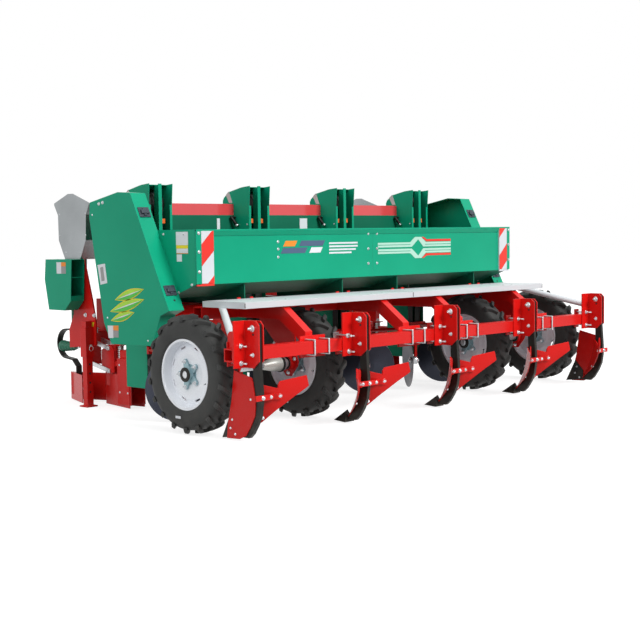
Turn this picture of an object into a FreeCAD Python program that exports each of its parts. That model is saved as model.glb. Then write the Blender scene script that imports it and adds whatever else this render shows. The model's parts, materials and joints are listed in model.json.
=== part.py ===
# Four-row potato planter with ridging bodies, mounted on a three-point hitch.
# Frame: +Z up, +Y is the direction of travel, +X to the right. The origin lies on the ground
# at the middle of the machine. Millimetres.
import FreeCAD, Part
import math
import os

V = FreeCAD.Vector
os.makedirs("parts", exist_ok=True)

# ---------------------------------------------------------------- driving dimensions
row_spacing = 900.0
row_centres = [-1.5 * row_spacing, -0.5 * row_spacing, 0.5 * row_spacing, 1.5 * row_spacing]
furrow_centres = [-2.0 * row_spacing, -row_spacing, 0.0, row_spacing, 2.0 * row_spacing]
datum_y = 30.0                      # the machine is set out about a line this far behind its middle
tine_reach = 1367.9                 # foremost point of the spring tines
shaft_play = 0.1                    # radial running clearance of a shaft in its hole

wheel_radius = 360.0
tyre_width = 160.0
rim_radius = 205.0
axle_y = -697.0
axle_z = wheel_radius
shaft_radius = 22.5

toolbar_size = 76.0
toolbar_wall = 8.0
toolbar_y = -1135.0
toolbar_z = 503.0
toolbar_half = 1905.0

bracket_bottom = 430.0
bracket_top = 700.0
bracket_plate = 8.0
bracket_reach = 125.0
bracket_flange = 84.5

shank_thick = 25.0
shank_deep = 50.0
tip_height = 6.0                    # clearance of the share points over the ground
wing_plate = 6.0
wing_angle = 46.0                   # sweep of the inner half of a wing from the line of travel
wing_tip_angle = 55.0               # sweep of its bolted extension
wing_fold = 140.0                   # where the extension starts, along the wing

front_bar_size = 100.0
front_bar_wall = 8.0
front_bar_y = 1007.0
front_bar_z = 460.0
front_bar_half = 1460.0

rail_centres = [-1205.0, -290.0, 290.0, 1205.0]
rail_width = 60.0
rail_height = 80.0
rail_bottom = 660.0
rear_beam_y = -440.0
rear_beam_size = 80.0
mid_beam_y = -173.0
beam_half = 1540.0

step_rear = -904.0
step_front = -518.0
step_top = 780.0
step_thick = 38.0
step_half = 1565.0

hopper_half = 1631.0
hopper_sheet = 4.0
hopper_rear = -532.0
hopper_rim = 1223.0
hopper_panel_foot = 886.0
hopper_knee_y = -267.0
hopper_knee_z = 795.0
hopper_mouth_z = 770.0

tower_half = 100.0
tower_sheet = 4.0
tower_rear = 147.0
tower_front = 427.0
tower_top = 1534.0
roller_y = 300.0
roller_top_z = 1405.0
roller_foot_z = 336.0
roller_radius = 80.0
belt_thick = 5.0
belt_width = 66.0
casing_foot = 165.0

cover_inner = hopper_half
cover_deep = 120.0
cover_sheet = 4.0

top_beam_y = 312.0
top_beam_deep = 80.0
top_beam_z = 1310.0
top_beam_high = 100.0

disc_radius = 205.0
disc_thick = 6.0
disc_offset = 260.0
disc_y = -293.0
disc_z = 214.0
disc_toe = 38.0
mount_z = 425.0

stand_x = 1507.0
stand_y = 800.0
stand_leg = 50.0
stand_wall = 8.0
stand_play = 0.3

hitch_half = 412.5                  # category 2 lower points are 825 apart
hitch_bore = 14.25                  # radius, for a 28 mm pin
hitch_y = 1290.0
hitch_z = 560.0
mast_y = 1210.0
mast_height = 610.0
mast_bore = 12.95                   # radius, for a 25.4 mm pin


# ---------------------------------------------------------------- shapes
def block(x0, x1, y0, y1, z0, z1):
    return Part.makeBox(x1 - x0, y1 - y0, z1 - z0, V(x0, y0, z0))


def centred(cx, cy, cz, dx, dy, dz):
    return block(cx - dx / 2, cx + dx / 2, cy - dy / 2, cy + dy / 2, cz - dz / 2, cz + dz / 2)


def rod(radius, start, end):
    line = end.sub(start)
    return Part.makeCylinder(radius, line.Length, start, line)


def prism_x(outline, x0, x1):
    """Outline of (y, z) points, extruded from x0 to x1."""
    points = [V(x0, y, z) for y, z in outline]
    face = Part.Face(Part.makePolygon(points + points[:1]))
    return face.extrude(V(x1 - x0, 0, 0))


def prism_z(outline, z0, z1):
    """Outline of (x, y) points, extruded from z0 to z1."""
    points = [V(x, y, z0) for x, y in outline]
    face = Part.Face(Part.makePolygon(points + points[:1]))
    return face.extrude(V(0, 0, z1 - z0))


def square_tube_x(x0, x1, cy, cz, size, wall):
    outer = centred((x0 + x1) / 2, cy, cz, x1 - x0, size, size)
    inner = centred((x0 + x1) / 2, cy, cz, x1 - x0 + 2, size - 2 * wall, size - 2 * wall)
    return outer.cut(inner)


def revolve_x(outline, x, y, z):
    """Outline of (offset along X, radius) points, turned about the X line through y, z."""
    points = [V(x + a, y, z + r) for a, r in outline]
    face = Part.Face(Part.makePolygon(points + points[:1]))
    return face.revolve(V(x, y, z), V(1, 0, 0), 360)


def moved(shape, x, y=0.0, z=0.0):
    copy = shape.copy()
    copy.translate(V(x, y, z))
    return copy


def save(name, pieces):
    shape = pieces[0] if len(pieces) == 1 else Part.makeCompound(pieces)
    moved(shape, 0, datum_y).exportStep("parts/" + name + ".step")


def fuse(pieces):
    return pieces[0].fuse(pieces[1:]).removeSplitter()


def solid_of(faces):
    """Solid bounded by flat faces, each a list of corners in order."""
    shell = Part.makeShell([Part.Face(Part.makePolygon(corners + corners[:1])) for corners in faces])
    shell.sewShape()
    solid = Part.makeSolid(shell)
    if solid.Volume < 0:
        solid.reverse()
    return solid


def largest(shape):
    return max(shape.Solids, key=lambda solid: solid.Volume)


# ---------------------------------------------------------------- main frame
def front_bar():
    return square_tube_x(-front_bar_half, front_bar_half, front_bar_y, front_bar_z,
                         front_bar_size, front_bar_wall)


def main_rail(x):
    rail_front = front_bar_y + front_bar_size / 2
    rail_rear = rear_beam_y + rear_beam_size / 2
    rail = block(x - rail_width / 2, x + rail_width / 2, rail_rear, rail_front,
                 rail_bottom, rail_bottom + rail_height)
    post = block(x - rail_width / 2, x + rail_width / 2, rail_front - front_bar_size, rail_front,
                 front_bar_z + front_bar_size / 2, rail_bottom)
    row = min(row_centres, key=lambda centre: abs(centre - x))
    facing = 1 if row > x else -1
    near, far = sorted((x + facing * rail_width / 2, row - facing * tower_half))
    lug = block(near, far, roller_y - 60, roller_y + 60, rail_bottom, rail_bottom + rail_height)
    return fuse([rail, post, lug])


def cross_beam(y, x0, x1):
    z = rail_bottom + rail_height / 2
    return square_tube_x(x0, x1, y, z, rear_beam_size, front_bar_wall)


mid_stations = [-beam_half] + rail_centres + [beam_half]
mid_pieces = []
for left, right in zip(mid_stations[:-1], mid_stations[1:]):
    x0 = left + (0 if left == -beam_half else rail_width / 2)
    x1 = right - (0 if right == beam_half else rail_width / 2)
    mid_pieces.append(cross_beam(mid_beam_y, x0, x1))
save("cross_beams", [cross_beam(rear_beam_y, -beam_half, beam_half)] + mid_pieces)


# ---------------------------------------------------------------- rear toolbar and its arms
toolbar_top = toolbar_z + toolbar_size / 2
toolbar_foot = toolbar_z - toolbar_size / 2
toolbar_rear = toolbar_y - toolbar_size / 2
toolbar_front = toolbar_y + toolbar_size / 2
stay_radius = 22.0
stay_lug_x = toolbar_half - 49.0
stay_lug_z = 606.0
lug_thick = 24.0


def stay_lug(side):
    """Round-headed lug on the toolbar that takes the foot of the step's stay."""
    x0, x1 = sorted((side * (stay_lug_x - lug_thick / 2), side * (stay_lug_x + lug_thick / 2)))
    return prism_x([(toolbar_front - 60, toolbar_top), (toolbar_front - 56, stay_lug_z + 18),
                    (toolbar_front - 40, stay_lug_z + 30), (toolbar_front - 8, stay_lug_z + 30),
                    (toolbar_front + 8, stay_lug_z + 14), (toolbar_front + 8, toolbar_top)], x0, x1)


def step_stay(side):
    """Tube from under the end of the step down to the lug near the end of the toolbar."""
    under = step_top - step_thick
    top = V(side * (step_half - 12), -690, under)
    foot = V(side * stay_lug_x, toolbar_front - 15, stay_lug_z)
    stay = rod(stay_radius, foot, top.add(top.sub(foot) * 0.1))
    above = centred(top.x, top.y, under + 100, 400, 400, 200)
    return largest(stay.cut(above).cut(stay_lug(side)))


toolbar = square_tube_x(-toolbar_half, toolbar_half, toolbar_y, toolbar_z, toolbar_size, toolbar_wall)
save("rear_toolbar", [fuse([toolbar, stay_lug(-1), stay_lug(1)])])
save("step_stays", [step_stay(-1), step_stay(1)])
arm_width = 60.0
arm_knee_y = -885.0                 # where an arm turns down to the toolbar
arm_end_top = 593.0
arm_end_foot = 505.0
flange_thick = 12.0
flange_left = 88.0                  # reach of the bolted end flange to each side of its arm
flange_right = 130.0
flange_over = 28.0


def toolbar_arm(x):
    beam_rear = rear_beam_y - rear_beam_size / 2
    rail_top = rail_bottom + rail_height
    face = toolbar_front + flange_thick
    arm = prism_x([(beam_rear, rail_top), (beam_rear, rail_bottom), (arm_knee_y + 30, rail_bottom),
                   (face, arm_end_foot), (face, arm_end_top), (arm_knee_y, rail_top)],
                  x - arm_width / 2, x + arm_width / 2)
    flange = block(x - flange_left, x + flange_right, toolbar_front, face,
                   toolbar_foot - flange_over, toolbar_top + flange_over)
    return fuse([arm, flange])


save("toolbar_arms", [toolbar_arm(x) for x in rail_centres])

u_bolt_radius = 6.0
u_bolt_offsets = [-44.0, 80.0]      # from the middle of the arm


def u_bolt(x):
    """Bolt bent round the rear of the toolbar: its legs run forward to the arm's flange."""
    back = toolbar_rear - u_bolt_radius
    top = toolbar_top + u_bolt_radius
    foot = toolbar_foot - u_bolt_radius
    corners = [V(x, back, foot), V(x, back, top)]
    pieces = [rod(u_bolt_radius, corners[0], corners[1]),
              rod(u_bolt_radius, corners[1], V(x, toolbar_front, top)),
              rod(u_bolt_radius, corners[0], V(x, toolbar_front, foot))]
    return fuse(pieces + [Part.makeSphere(u_bolt_radius, corner) for corner in corners])


save("u_bolts", [u_bolt(x + offset) for x in rail_centres for offset in u_bolt_offsets])


# ---------------------------------------------------------------- shanks and their brackets
def bent_bracket(x):
    """Left clamp plate: a flange on the toolbar and a web running back past the shank."""
    web_x = x - shank_thick / 2 - bracket_plate
    web = prism_x([(toolbar_rear - bracket_plate, bracket_bottom), (toolbar_rear, bracket_bottom),
                   (toolbar_rear, bracket_top), (toolbar_rear - bracket_reach + 25, bracket_top),
                   (toolbar_rear - bracket_reach, bracket_top - 25),
                   (toolbar_rear - bracket_reach, bracket_bottom + 40),
                   (toolbar_rear - bracket_reach + 45, bracket_bottom)],
                  web_x, web_x + bracket_plate)
    flange = block(web_x - bracket_flange, web_x, toolbar_rear - bracket_plate, toolbar_rear,
                   bracket_bottom, bracket_top)
    return fuse([web, flange])


def flat_bracket(x):
    web_x = x + shank_thick / 2
    return prism_x([(toolbar_rear, bracket_bottom + 10), (toolbar_rear, bracket_top),
                    (toolbar_rear - bracket_reach + 25, bracket_top),
                    (toolbar_rear - bracket_reach, bracket_top - 25),
                    (toolbar_rear - bracket_reach, bracket_bottom + 40),
                    (toolbar_rear - bracket_reach + 45, bracket_bottom + 10)],
                   web_x, web_x + bracket_plate)


save("shank_brackets", [make(x) for x in furrow_centres for make in (bent_bracket, flat_bracket)])

shank_rear = toolbar_rear - 116.0
shank_front = shank_rear + shank_deep
shank_foot = 24.0
inner_sweep = math.radians(wing_angle)
tip_sweep = math.radians(wing_tip_angle)
wing_depth = wing_plate / math.sin(inner_sweep)         # of the plate, measured along the travel
shank_setback = wing_depth + shank_thick / 2 / math.tan(inner_sweep) + 0.3


def nose_points(back):
    """Foot, middle and head of the curved front line of a ridging body, moved back."""
    head_y = shank_front + shank_setback - back
    return [V(0, head_y + 112, shank_foot), V(0, head_y + 33, 155), V(0, head_y, 385)]


nose = Part.Arc(*nose_points(0)).toShape().Curve


def nose_at(z):
    return nose.Center.y - math.sqrt(nose.Radius ** 2 - (z - nose.Center.z) ** 2)


def shank(x):
    """Flat bar whose foot is swept forward to stand behind the nose."""
    foot, middle, head = nose_points(shank_setback)
    back = [(shank_rear, 460), (shank_rear - 12, 300), (shank_rear - 12, 235), (shank_rear - 1, 165),
            (shank_rear + 27, 105), (shank_rear + 64, 50), (shank_rear + 94, shank_foot)]
    points = [head, V(0, shank_front, bracket_top - 15), V(0, shank_rear, bracket_top - 15)]
    points += [V(0, y, z) for y, z in back] + [foot]
    wire = Part.Wire([Part.Arc(foot, middle, head).toShape()] + Part.makePolygon(points).Edges)
    return moved(Part.Face(wire).extrude(V(shank_thick, 0, 0)), x - shank_thick / 2)


save("shanks", [shank(x) for x in furrow_centres])


# ---------------------------------------------------------------- ridging bodies
inner_outline = [(0, shank_foot), (50, 85), (88, 112), (150, 184), (150, 312), (131, 314), (73, 328),
                 (0, 352)]
tip_outline = [(wing_fold - 9, 162), (150, 184), (237, 258), (312, 312), (322, 322), (311, 381),
               (153, 352), (wing_fold - 9, 314)]


def wing_half(side, sweep, shift, start, length, outline):
    """Plate swept back from the curved nose and trimmed to an outline of (along, z) points."""
    front, back = nose_points(0), nose_points(wing_depth)
    section = Part.Face(Part.Wire([Part.Arc(*front).toShape(), Part.makeLine(front[2], back[2]),
                                   Part.Arc(*back).toShape(), Part.makeLine(back[0], front[0])]))
    along = V(side * math.sin(sweep), -math.cos(sweep), 0)
    across = V(math.cos(sweep), side * math.sin(sweep), 0)
    plate = moved(section, shift.x, shift.y)
    plate.translate(along * (start - shift.Length))
    plate = plate.extrude(along * length)
    corners = []
    for s, z in outline:
        point = V(0, nose_at(z), z).add(shift).add(along * (s - shift.Length))
        corners.append(point.sub(across * point.dot(across)))
    corners = [corner.sub(across * 1500) for corner in corners]
    cutter = Part.Face(Part.makePolygon(corners + corners[:1])).extrude(across * 3000)
    return plate.common(cutter)


def wing(side, start=0.0):
    """Wing of two plates, the extension swept wider than the half at the nose."""
    fold = V(side * math.sin(inner_sweep), -math.cos(inner_sweep), 0) * wing_fold
    inner = wing_half(side, inner_sweep, V(0, 0, 0), start, wing_fold - start,
                      [(start, z) if s == 0 else (s, z) for s, z in inner_outline])
    tip = wing_half(side, tip_sweep, fold, wing_fold, 200, tip_outline)
    return inner.fuse(tip)


end_plate_outline = [(-1012, 8), (-1022, 100), (-1055, 225), (-1082, 408), (-1232, 374), (-1240, 345),
                     (-1262, 240), (-1253, 157), (-1215, 90), (-1177, 37), (-1120, 12)]
end_share_outline = [(-963, tip_height), (-1047, 171), (-1117, 93), (-1117, 25)]


def upright(x, side, offset, outline):
    """Upright plate along the direction of travel, standing off the body's middle."""
    x0, x1 = sorted((x + side * offset, x + side * (offset + wing_plate)))
    return prism_x(outline, x0, x1)


strap_z = 263.0
strap_high = 32.0
strap_thick = 6.0


def strap(x, sides, plates):
    """Bar behind the shank whose bent ends lie against the inner faces of the wings."""
    front = shank_rear - 12
    reach = nose_at(strap_z) - wing_depth
    fold_x = wing_fold * math.sin(inner_sweep)
    fold_y = reach - wing_fold * math.cos(inner_sweep)
    line = [(fold_x - 14, front), (fold_x, fold_y + 10), (fold_x + 18, fold_y - 2),
            (fold_x + 12, fold_y - 18), (fold_x - 8, fold_y - 6), (fold_x - 18, front - strap_thick)]
    left = [(-a, y) for a, y in line] if -1 in sides else [(-55, front), (-55, front - strap_thick)]
    right = line if 1 in sides else [(55, front), (55, front - strap_thick)]
    outline = [(x + a, y) for a, y in right + left[::-1]]
    bar = prism_z(outline, strap_z - strap_high / 2, strap_z + strap_high / 2)
    for plate in plates:
        bar = bar.cut(plate)
    return largest(bar)


def share(x, plates):
    """Wedge of a share below and ahead of the wings."""
    left, right = V(x - 45, nose_at(shank_foot) - 27, 8), V(x + 45, nose_at(shank_foot) - 27, 8)
    top = V(x, nose_at(shank_foot) - 10, 84)
    tip = V(x, nose_at(shank_foot) + 110, tip_height)
    wedge = solid_of([[left, right, tip], [left, top, right], [left, tip, top], [right, top, tip]])
    for plate in plates:
        wedge = wedge.cut(plate)
    return largest(wedge)


ridger_plates = []
ridger_straps = []
ridger_shares = []
wing_start = -(shank_thick / 2) / math.sin(inner_sweep)
for x in furrow_centres:
    bar = shank(x)
    if abs(x) < furrow_centres[-1]:
        body = moved(fuse([wing(-1), wing(1)]), x)
        ridger_plates.append(body)
        ridger_straps.append(strap(x, (-1, 1), [body]))
        ridger_shares.append(share(x, [body, bar]))
    else:
        outer = 1 if x > 0 else -1
        body = moved(wing(-outer, wing_start).removeSplitter(), x)
        upright_plate = upright(x, outer, shank_thick / 2, end_plate_outline)
        ridger_plates += [body, upright_plate]
        ridger_straps.append(strap(x, (-outer,), [body]))
        point = upright(x, outer, shank_thick / 2 - wing_plate, end_share_outline)
        ridger_shares.append(largest(point.cut(body).cut(bar)))
save("ridger_plates", ridger_plates)
save("ridger_straps", ridger_straps)
save("ridger_shares", ridger_shares)


# ---------------------------------------------------------------- step
def step_board():
    half = step_half
    outer = block(-half, half, step_rear, step_front, step_top - step_thick, step_top)
    hollow = block(-half + 3, half - 3, step_rear + 3, step_front - 3, step_top - step_thick - 1,
                   step_top - 3)
    shell = outer.cut(hollow)
    foot = step_top - step_thick
    ends = []
    for side in (-1, 1):
        x0, x1 = sorted((side * half, side * (half - step_end)))
        ends.append(block(x0, x1, step_rear, step_front, foot, foot + 3))
    return fuse([shell] + ends)


rib_half = 20.0
step_end = step_half - rail_centres[-1] - rib_half - 40.0        # closing plate under each end
save("step_board", [step_board()])
step_foot = step_top - 3
step_ribs = [block(x - rib_half, x + rib_half, step_rear + 10, step_front - 10,
                   rail_bottom + rail_height, step_foot) for x in rail_centres]


# ---------------------------------------------------------------- potato hopper
def floor_line(drop):
    return [(hopper_rear, hopper_panel_foot - drop), (hopper_knee_y, hopper_knee_z - drop),
            (tower_rear, hopper_mouth_z - drop)]


def hopper_floor():
    upper = floor_line(0)
    lower = floor_line(hopper_sheet)
    half = hopper_half - hopper_sheet
    return prism_x(upper + lower[::-1], -half, half)


def hopper_side(side):
    outline = [(hopper_rear, hopper_rim)] + floor_line(hopper_sheet)
    outline += [(top_beam_y, hopper_mouth_z - hopper_sheet), (top_beam_y, hopper_rim)]
    x0, x1 = sorted((side * hopper_half, side * (hopper_half - hopper_sheet)))
    return prism_x(outline, x0, x1)


def rear_panel(side):
    x0, x1 = sorted((side * 0.5, side * hopper_half))
    sheet = block(x0, x1, hopper_rear - hopper_sheet, hopper_rear, hopper_panel_foot - 4, hopper_rim)
    roll = block(x0, x1, hopper_rear - 16, hopper_rear - hopper_sheet, hopper_rim - 12, hopper_rim)
    return fuse([sheet, roll])


save("hopper_rear_panels", [rear_panel(-1), rear_panel(1)])
save("hopper_sides", [hopper_side(-1), hopper_side(1)])
save("hopper_floor", [hopper_floor()])

wall_stations = [-hopper_half + hopper_sheet]
for x in row_centres:
    wall_stations += [x - tower_half, x + tower_half]
wall_stations.append(hopper_half - hopper_sheet)
front_walls = []
for left, right in zip(wall_stations[0::2], wall_stations[1::2]):
    wall = block(left, right, top_beam_y - hopper_sheet, top_beam_y,
                 hopper_mouth_z, top_beam_z + 20)
    shelf = block(left, right, tower_rear, top_beam_y, hopper_mouth_z - hopper_sheet,
                  hopper_mouth_z)
    front_walls.append(fuse([wall, shelf]))
save("hopper_front_wall", front_walls)


def hopper_support(x):
    top = rail_bottom + rail_height
    floor = floor_line(hopper_sheet)
    return prism_x([(hopper_rear + 20, top), (hopper_rear + 20, floor[0][1] - 8), floor[1],
                    (tower_rear - 5, floor[2][1] + 0.25), (tower_rear - 5, top)], x - 4, x + 4)


save("hopper_supports", step_ribs + [hopper_support(x) for x in rail_centres])


# ---------------------------------------------------------------- cup belt towers
def tower_wall(x):
    outline = [(tower_rear, hopper_mouth_z), (tower_rear, tower_top - 140),
               (tower_rear - 10, tower_top), (224, tower_top - 8), (327, 1504), (361, 1496),
               (414, 1457), (tower_front, 1435), (tower_front, casing_foot),
               (roller_y - 100, casing_foot), (roller_y - 100, hopper_mouth_z)]
    return prism_x(outline, x, x + tower_sheet)


def tower_cowl(x0, x1):
    """Closing sheet over the top and down the front of a tower."""
    outer = [(tower_rear + 50, tower_top - 5), (224, tower_top - 8), (327, 1504), (361, 1496),
             (414, 1457), (tower_front, 1435), (tower_front, casing_foot)]
    inner = [(tower_front - 4, casing_foot), (tower_front - 4, 1433), (411, 1453), (359, 1491.5),
             (326, 1499.5), (223.5, tower_top - 12.5), (tower_rear + 50, tower_top - 9.5)]
    return prism_x(outer + inner, x0, x1)


def tower(x):
    left = tower_wall(x - tower_half)
    right = tower_wall(x + tower_half - tower_sheet)
    cowl = tower_cowl(x - tower_half + tower_sheet, x + tower_half - tower_sheet)
    pieces = [left, right, cowl]
    for side in (-1, 1):
        edge = side * (tower_half - tower_sheet)
        x0, x1 = sorted((x + edge, x + edge - side * 16))
        pieces.append(block(x0, x1, tower_rear, tower_rear + 3, hopper_mouth_z, tower_top - 140))
    return fuse(pieces)


def tower_fin(x):
    post = block(x - 14, x + 14, tower_rear, tower_rear + 4, hopper_mouth_z, tower_top)
    web = block(x - 2, x + 2, tower_rear + 4, roller_y - roller_radius - 10, hopper_mouth_z,
                tower_top - 14)
    return fuse([post, web])


save("main_rails", [main_rail(x) for x in rail_centres])
save("tower_housings", [tower(x) for x in row_centres])
save("tower_fins", [tower_fin(x) for x in row_centres])


def belt_loop(radius, x0, x1):
    drum_top = Part.makeCylinder(radius, x1 - x0, V(x0, roller_y, roller_top_z), V(1, 0, 0))
    drum_foot = Part.makeCylinder(radius, x1 - x0, V(x0, roller_y, roller_foot_z), V(1, 0, 0))
    middle_part = block(x0, x1, roller_y - radius, roller_y + radius, roller_foot_z, roller_top_z)
    return fuse([drum_top, drum_foot, middle_part])


cup_pitch = 110.0
cup_radius = 22.0
cup_deep = 40.0


def cup(x, z):
    shell = Part.makeCylinder(cup_radius, 32, V(x, roller_y - roller_radius - cup_radius - 4, z))
    hollow = Part.makeCylinder(cup_radius - 4, 30,
                               V(x, roller_y - roller_radius - cup_radius - 4, z + 5))
    stem = block(x - 6, x + 6, roller_y - roller_radius - belt_thick - 8,
                 roller_y - roller_radius, z, z + 10)
    return shell.cut(hollow).fuse(stem)


def cup_belt(x):
    x0 = x - belt_width / 2
    x1 = x + belt_width / 2
    loop = belt_loop(roller_radius, x0, x1).cut(belt_loop(roller_radius - belt_thick, x0 - 1, x1 + 1))
    count = int((roller_top_z - hopper_mouth_z) / cup_pitch)
    cups = [cup(x, hopper_mouth_z + 60 + i * cup_pitch) for i in range(count)]
    return fuse([loop] + cups)


belt_offset = 48.0
save("cup_belts", [cup_belt(x + side * belt_offset) for x in row_centres for side in (-1, 1)])

drum_half = tower_half - tower_sheet
drums = []
for x in row_centres:
    for z in (roller_top_z, roller_foot_z):
        drums.append(rod(roller_radius - belt_thick, V(x - drum_half, roller_y, z),
                         V(x + drum_half, roller_y, z)))
save("belt_drums", drums)

beam_parts = []
for left, right in zip(wall_stations[0::2], wall_stations[1::2]):
    beam_parts.append(block(left, right, top_beam_y, top_beam_y + top_beam_deep,
                            top_beam_z, top_beam_z + top_beam_high))
save("top_beam", beam_parts)


# ---------------------------------------------------------------- side covers
cover_outline = [(381, 1411), (77, 1469), (-53, 1460), (-419, 724), (-334, 691), (-241, 499),
                 (179, 490), (256, 626), (391, 1314)]


def side_cover(side):
    x0, x1 = sorted((side * cover_inner, side * (cover_inner + cover_deep)))
    outer = prism_x(cover_outline, x0, x1)
    points = [V(x0, y, z) for y, z in cover_outline]
    face = Part.Face(Part.makePolygon(points + points[:1]))
    inner = face.makeOffset2D(-cover_sheet).extrude(V(cover_deep, 0, 0))
    inner.translate(V(-side * cover_sheet, 0, 0))
    return outer.cut(inner)


save("side_cover_left", [side_cover(-1)])
save("side_cover_right", [side_cover(1)])


# ---------------------------------------------------------------- wheels and axles
carcass_sides = 36
tyre_half = tyre_width / 2
bead = rim_radius + 0.8
carcass_outline = [(-tyre_half + 22, bead), (-tyre_half, 240), (-tyre_half, 300), (-tyre_half + 14, 332),
                   (tyre_half - 14, 332), (tyre_half, 300), (tyre_half, 240), (tyre_half - 22, bead)]
lug_count = 18                      # on each half of the tread
lug_turn = 9.5                      # degrees that a lug sweeps round the tyre
lug_half = 13.0                     # half the width of its crown


def wheel_point(x, radius, degrees):
    turn = math.radians(degrees)
    return V(x, axle_y - radius * math.sin(turn), axle_z - radius * math.cos(turn))


def carcass(x):
    step = 360.0 / carcass_sides
    faces = []
    for side in range(carcass_sides):
        for (x0, r0), (x1, r1) in zip(carcass_outline, carcass_outline[1:] + carcass_outline[:1]):
            faces.append([wheel_point(x + x0, r0, side * step),
                          wheel_point(x + x0, r0, (side + 1) * step),
                          wheel_point(x + x1, r1, (side + 1) * step),
                          wheel_point(x + x1, r1, side * step)])
    return solid_of(faces)


def tread_lug(x, side, middle):
    """Slanted bar from beside the centre line of the tread to its shoulder."""
    rings = []
    for offset, crown, turn in ((4, wheel_radius, 0), (tyre_half - 1, wheel_radius - 12, lug_turn)):
        near = math.degrees(lug_half / wheel_radius)
        wide = near * 1.5
        foot = wheel_radius - 52
        rings.append([wheel_point(x + side * offset, foot, middle + turn - wide),
                      wheel_point(x + side * offset, crown, middle + turn - near),
                      wheel_point(x + side * offset, crown, middle + turn + near),
                      wheel_point(x + side * offset, foot, middle + turn + wide)])
    inner, outer = rings
    if side < 0:
        inner, outer = outer, inner
    faces = [inner, outer[::-1]]
    for i in range(4):
        j = (i + 1) % 4
        faces += [[inner[i], outer[i], outer[j]], [inner[i], outer[j], inner[j]]]
    return solid_of(faces)


def tyre(x):
    step = 360.0 / lug_count
    turned = math.degrees(lug_half / wheel_radius)      # sets a lug's edge on the ground
    lugs = [tread_lug(x, 1, i * step + turned) for i in range(lug_count)]
    lugs += [tread_lug(x, -1, (i + 0.5) * step + turned) for i in range(lug_count)]
    return carcass(x).fuse(lugs)


bearing_stations = [1000.0, 1500.0]
bearing_radius = 50.0
disc_left = -28.0                   # left face of the wheel disc at its hub
disc_right = -20.0
hub_radius = 48.0
hub_flange = 82.0


def rim(x):
    """Wheel disc dished into its barrel, with lips outside the tyre's beads."""
    seat = rim_radius - 0.5
    edge = tyre_half - 22
    plate = revolve_x([(-70, 200), (-70, 214), (-66, 214), (-64, 206), (-edge, seat), (edge, seat),
                       (64, 206), (66, 214), (70, 214), (70, 200), (60, 196), (34, 182), (-8, 180),
                       (-18, 150), (-24, 120), (disc_right, 92), (disc_right, hub_radius + 2),
                       (disc_left, hub_radius + 2), (disc_left, 92), (-32, 120), (-27, 152),
                       (-17, 186), (-34, 190), (-60, 196)], x, axle_y, axle_z)
    slot = centred(x, axle_y, axle_z + 164, 100, 46, 12)
    slots = []
    for i in range(8):
        turned = slot.copy()
        turned.rotate(V(x, axle_y, axle_z), V(1, 0, 0), 22.5 + i * 45)
        slots.append(turned)
    return plate.cut(Part.makeCompound(slots))


def axle(side):
    """Shaft with its two hubs and the stepped collar beside the inner bearing."""
    ends = sorted((side * (2 * row_spacing + 60), side * (row_spacing - 60)))
    if side > 0:
        ends[0] -= 20
    pieces = [rod(shaft_radius, V(ends[0], axle_y, axle_z), V(ends[1], axle_y, axle_z))]
    for x in (side * row_spacing, side * 2 * row_spacing):
        pieces.append(rod(hub_flange, V(x + disc_left - 12, axle_y, axle_z),
                          V(x + disc_left, axle_y, axle_z)))
        pieces.append(rod(hub_radius, V(x - 62, axle_y, axle_z), V(x + 30, axle_y, axle_z)))
    root = bearing_stations[0] + 30
    collar = [(root, 0), (root, 30), (root + 25, 30), (root + 25, 46), (root + 45, 46), (root + 45, 53),
              (root + 60, 53), (root + 60, 46), (root + 210, shaft_radius + 2), (root + 210, 0)]
    pieces.append(revolve_x([(side * a, r) for a, r in collar], 0, axle_y, axle_z))
    return fuse(pieces)


for name, side in (("left", -1), ("right", 1)):
    wheel_stations = (side * 2 * row_spacing, side * row_spacing)
    save("tyres_" + name, [tyre(x) for x in wheel_stations])
    save("rims_" + name, [rim(x) for x in wheel_stations])
    save("axle_" + name, [axle(side)])


def bearing_hanger(x):
    """Plate down from the rail with a three-cornered foot round the bearing."""
    thick = 12.0
    plate = prism_x([(axle_y - 62, rail_bottom), (axle_y - 62, axle_z + 70), (axle_y - 88, axle_z + 10),
                     (axle_y - 78, axle_z - 18), (axle_y - 22, axle_z - 84), (axle_y + 22, axle_z - 84),
                     (axle_y + 78, axle_z - 18), (axle_y + 88, axle_z + 10), (axle_y + 62, axle_z + 70),
                     (rear_beam_y + 40, rail_bottom)], x - thick / 2, x + thick / 2)
    house = rod(bearing_radius, V(x - 25, axle_y, axle_z), V(x + 25, axle_y, axle_z))
    bore = rod(shaft_radius + shaft_play, V(x - 30, axle_y, axle_z), V(x + 30, axle_y, axle_z))
    return fuse([plate, house]).cut(bore)


save("bearing_hangers", [bearing_hanger(side * x) for side in (-1, 1) for x in bearing_stations])


# ---------------------------------------------------------------- covering discs
def disc_axis(side):
    """Horizontal axis of a disc: it points outwards and to the rear of the row."""
    toe = math.radians(disc_toe)
    return V(side * math.cos(toe), -math.sin(toe), 0)


def covering_disc(x, side):
    """Dished blade built about the X axis, then turned to its toe angle."""
    dish = 30.0
    outline = [(0, 14.0 + shaft_play), (0, 60), (-dish, disc_radius), (-dish - 3, disc_radius),
               (-disc_thick, 62), (-disc_thick, 14.0 + shaft_play)]
    blade = revolve_x([(side * a, r) for a, r in outline], 0, 0, 0)
    blade.rotate(V(0, 0, 0), V(0, 0, 1), -side * disc_toe)
    return moved(blade, x + side * disc_offset, disc_y, disc_z)


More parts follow.
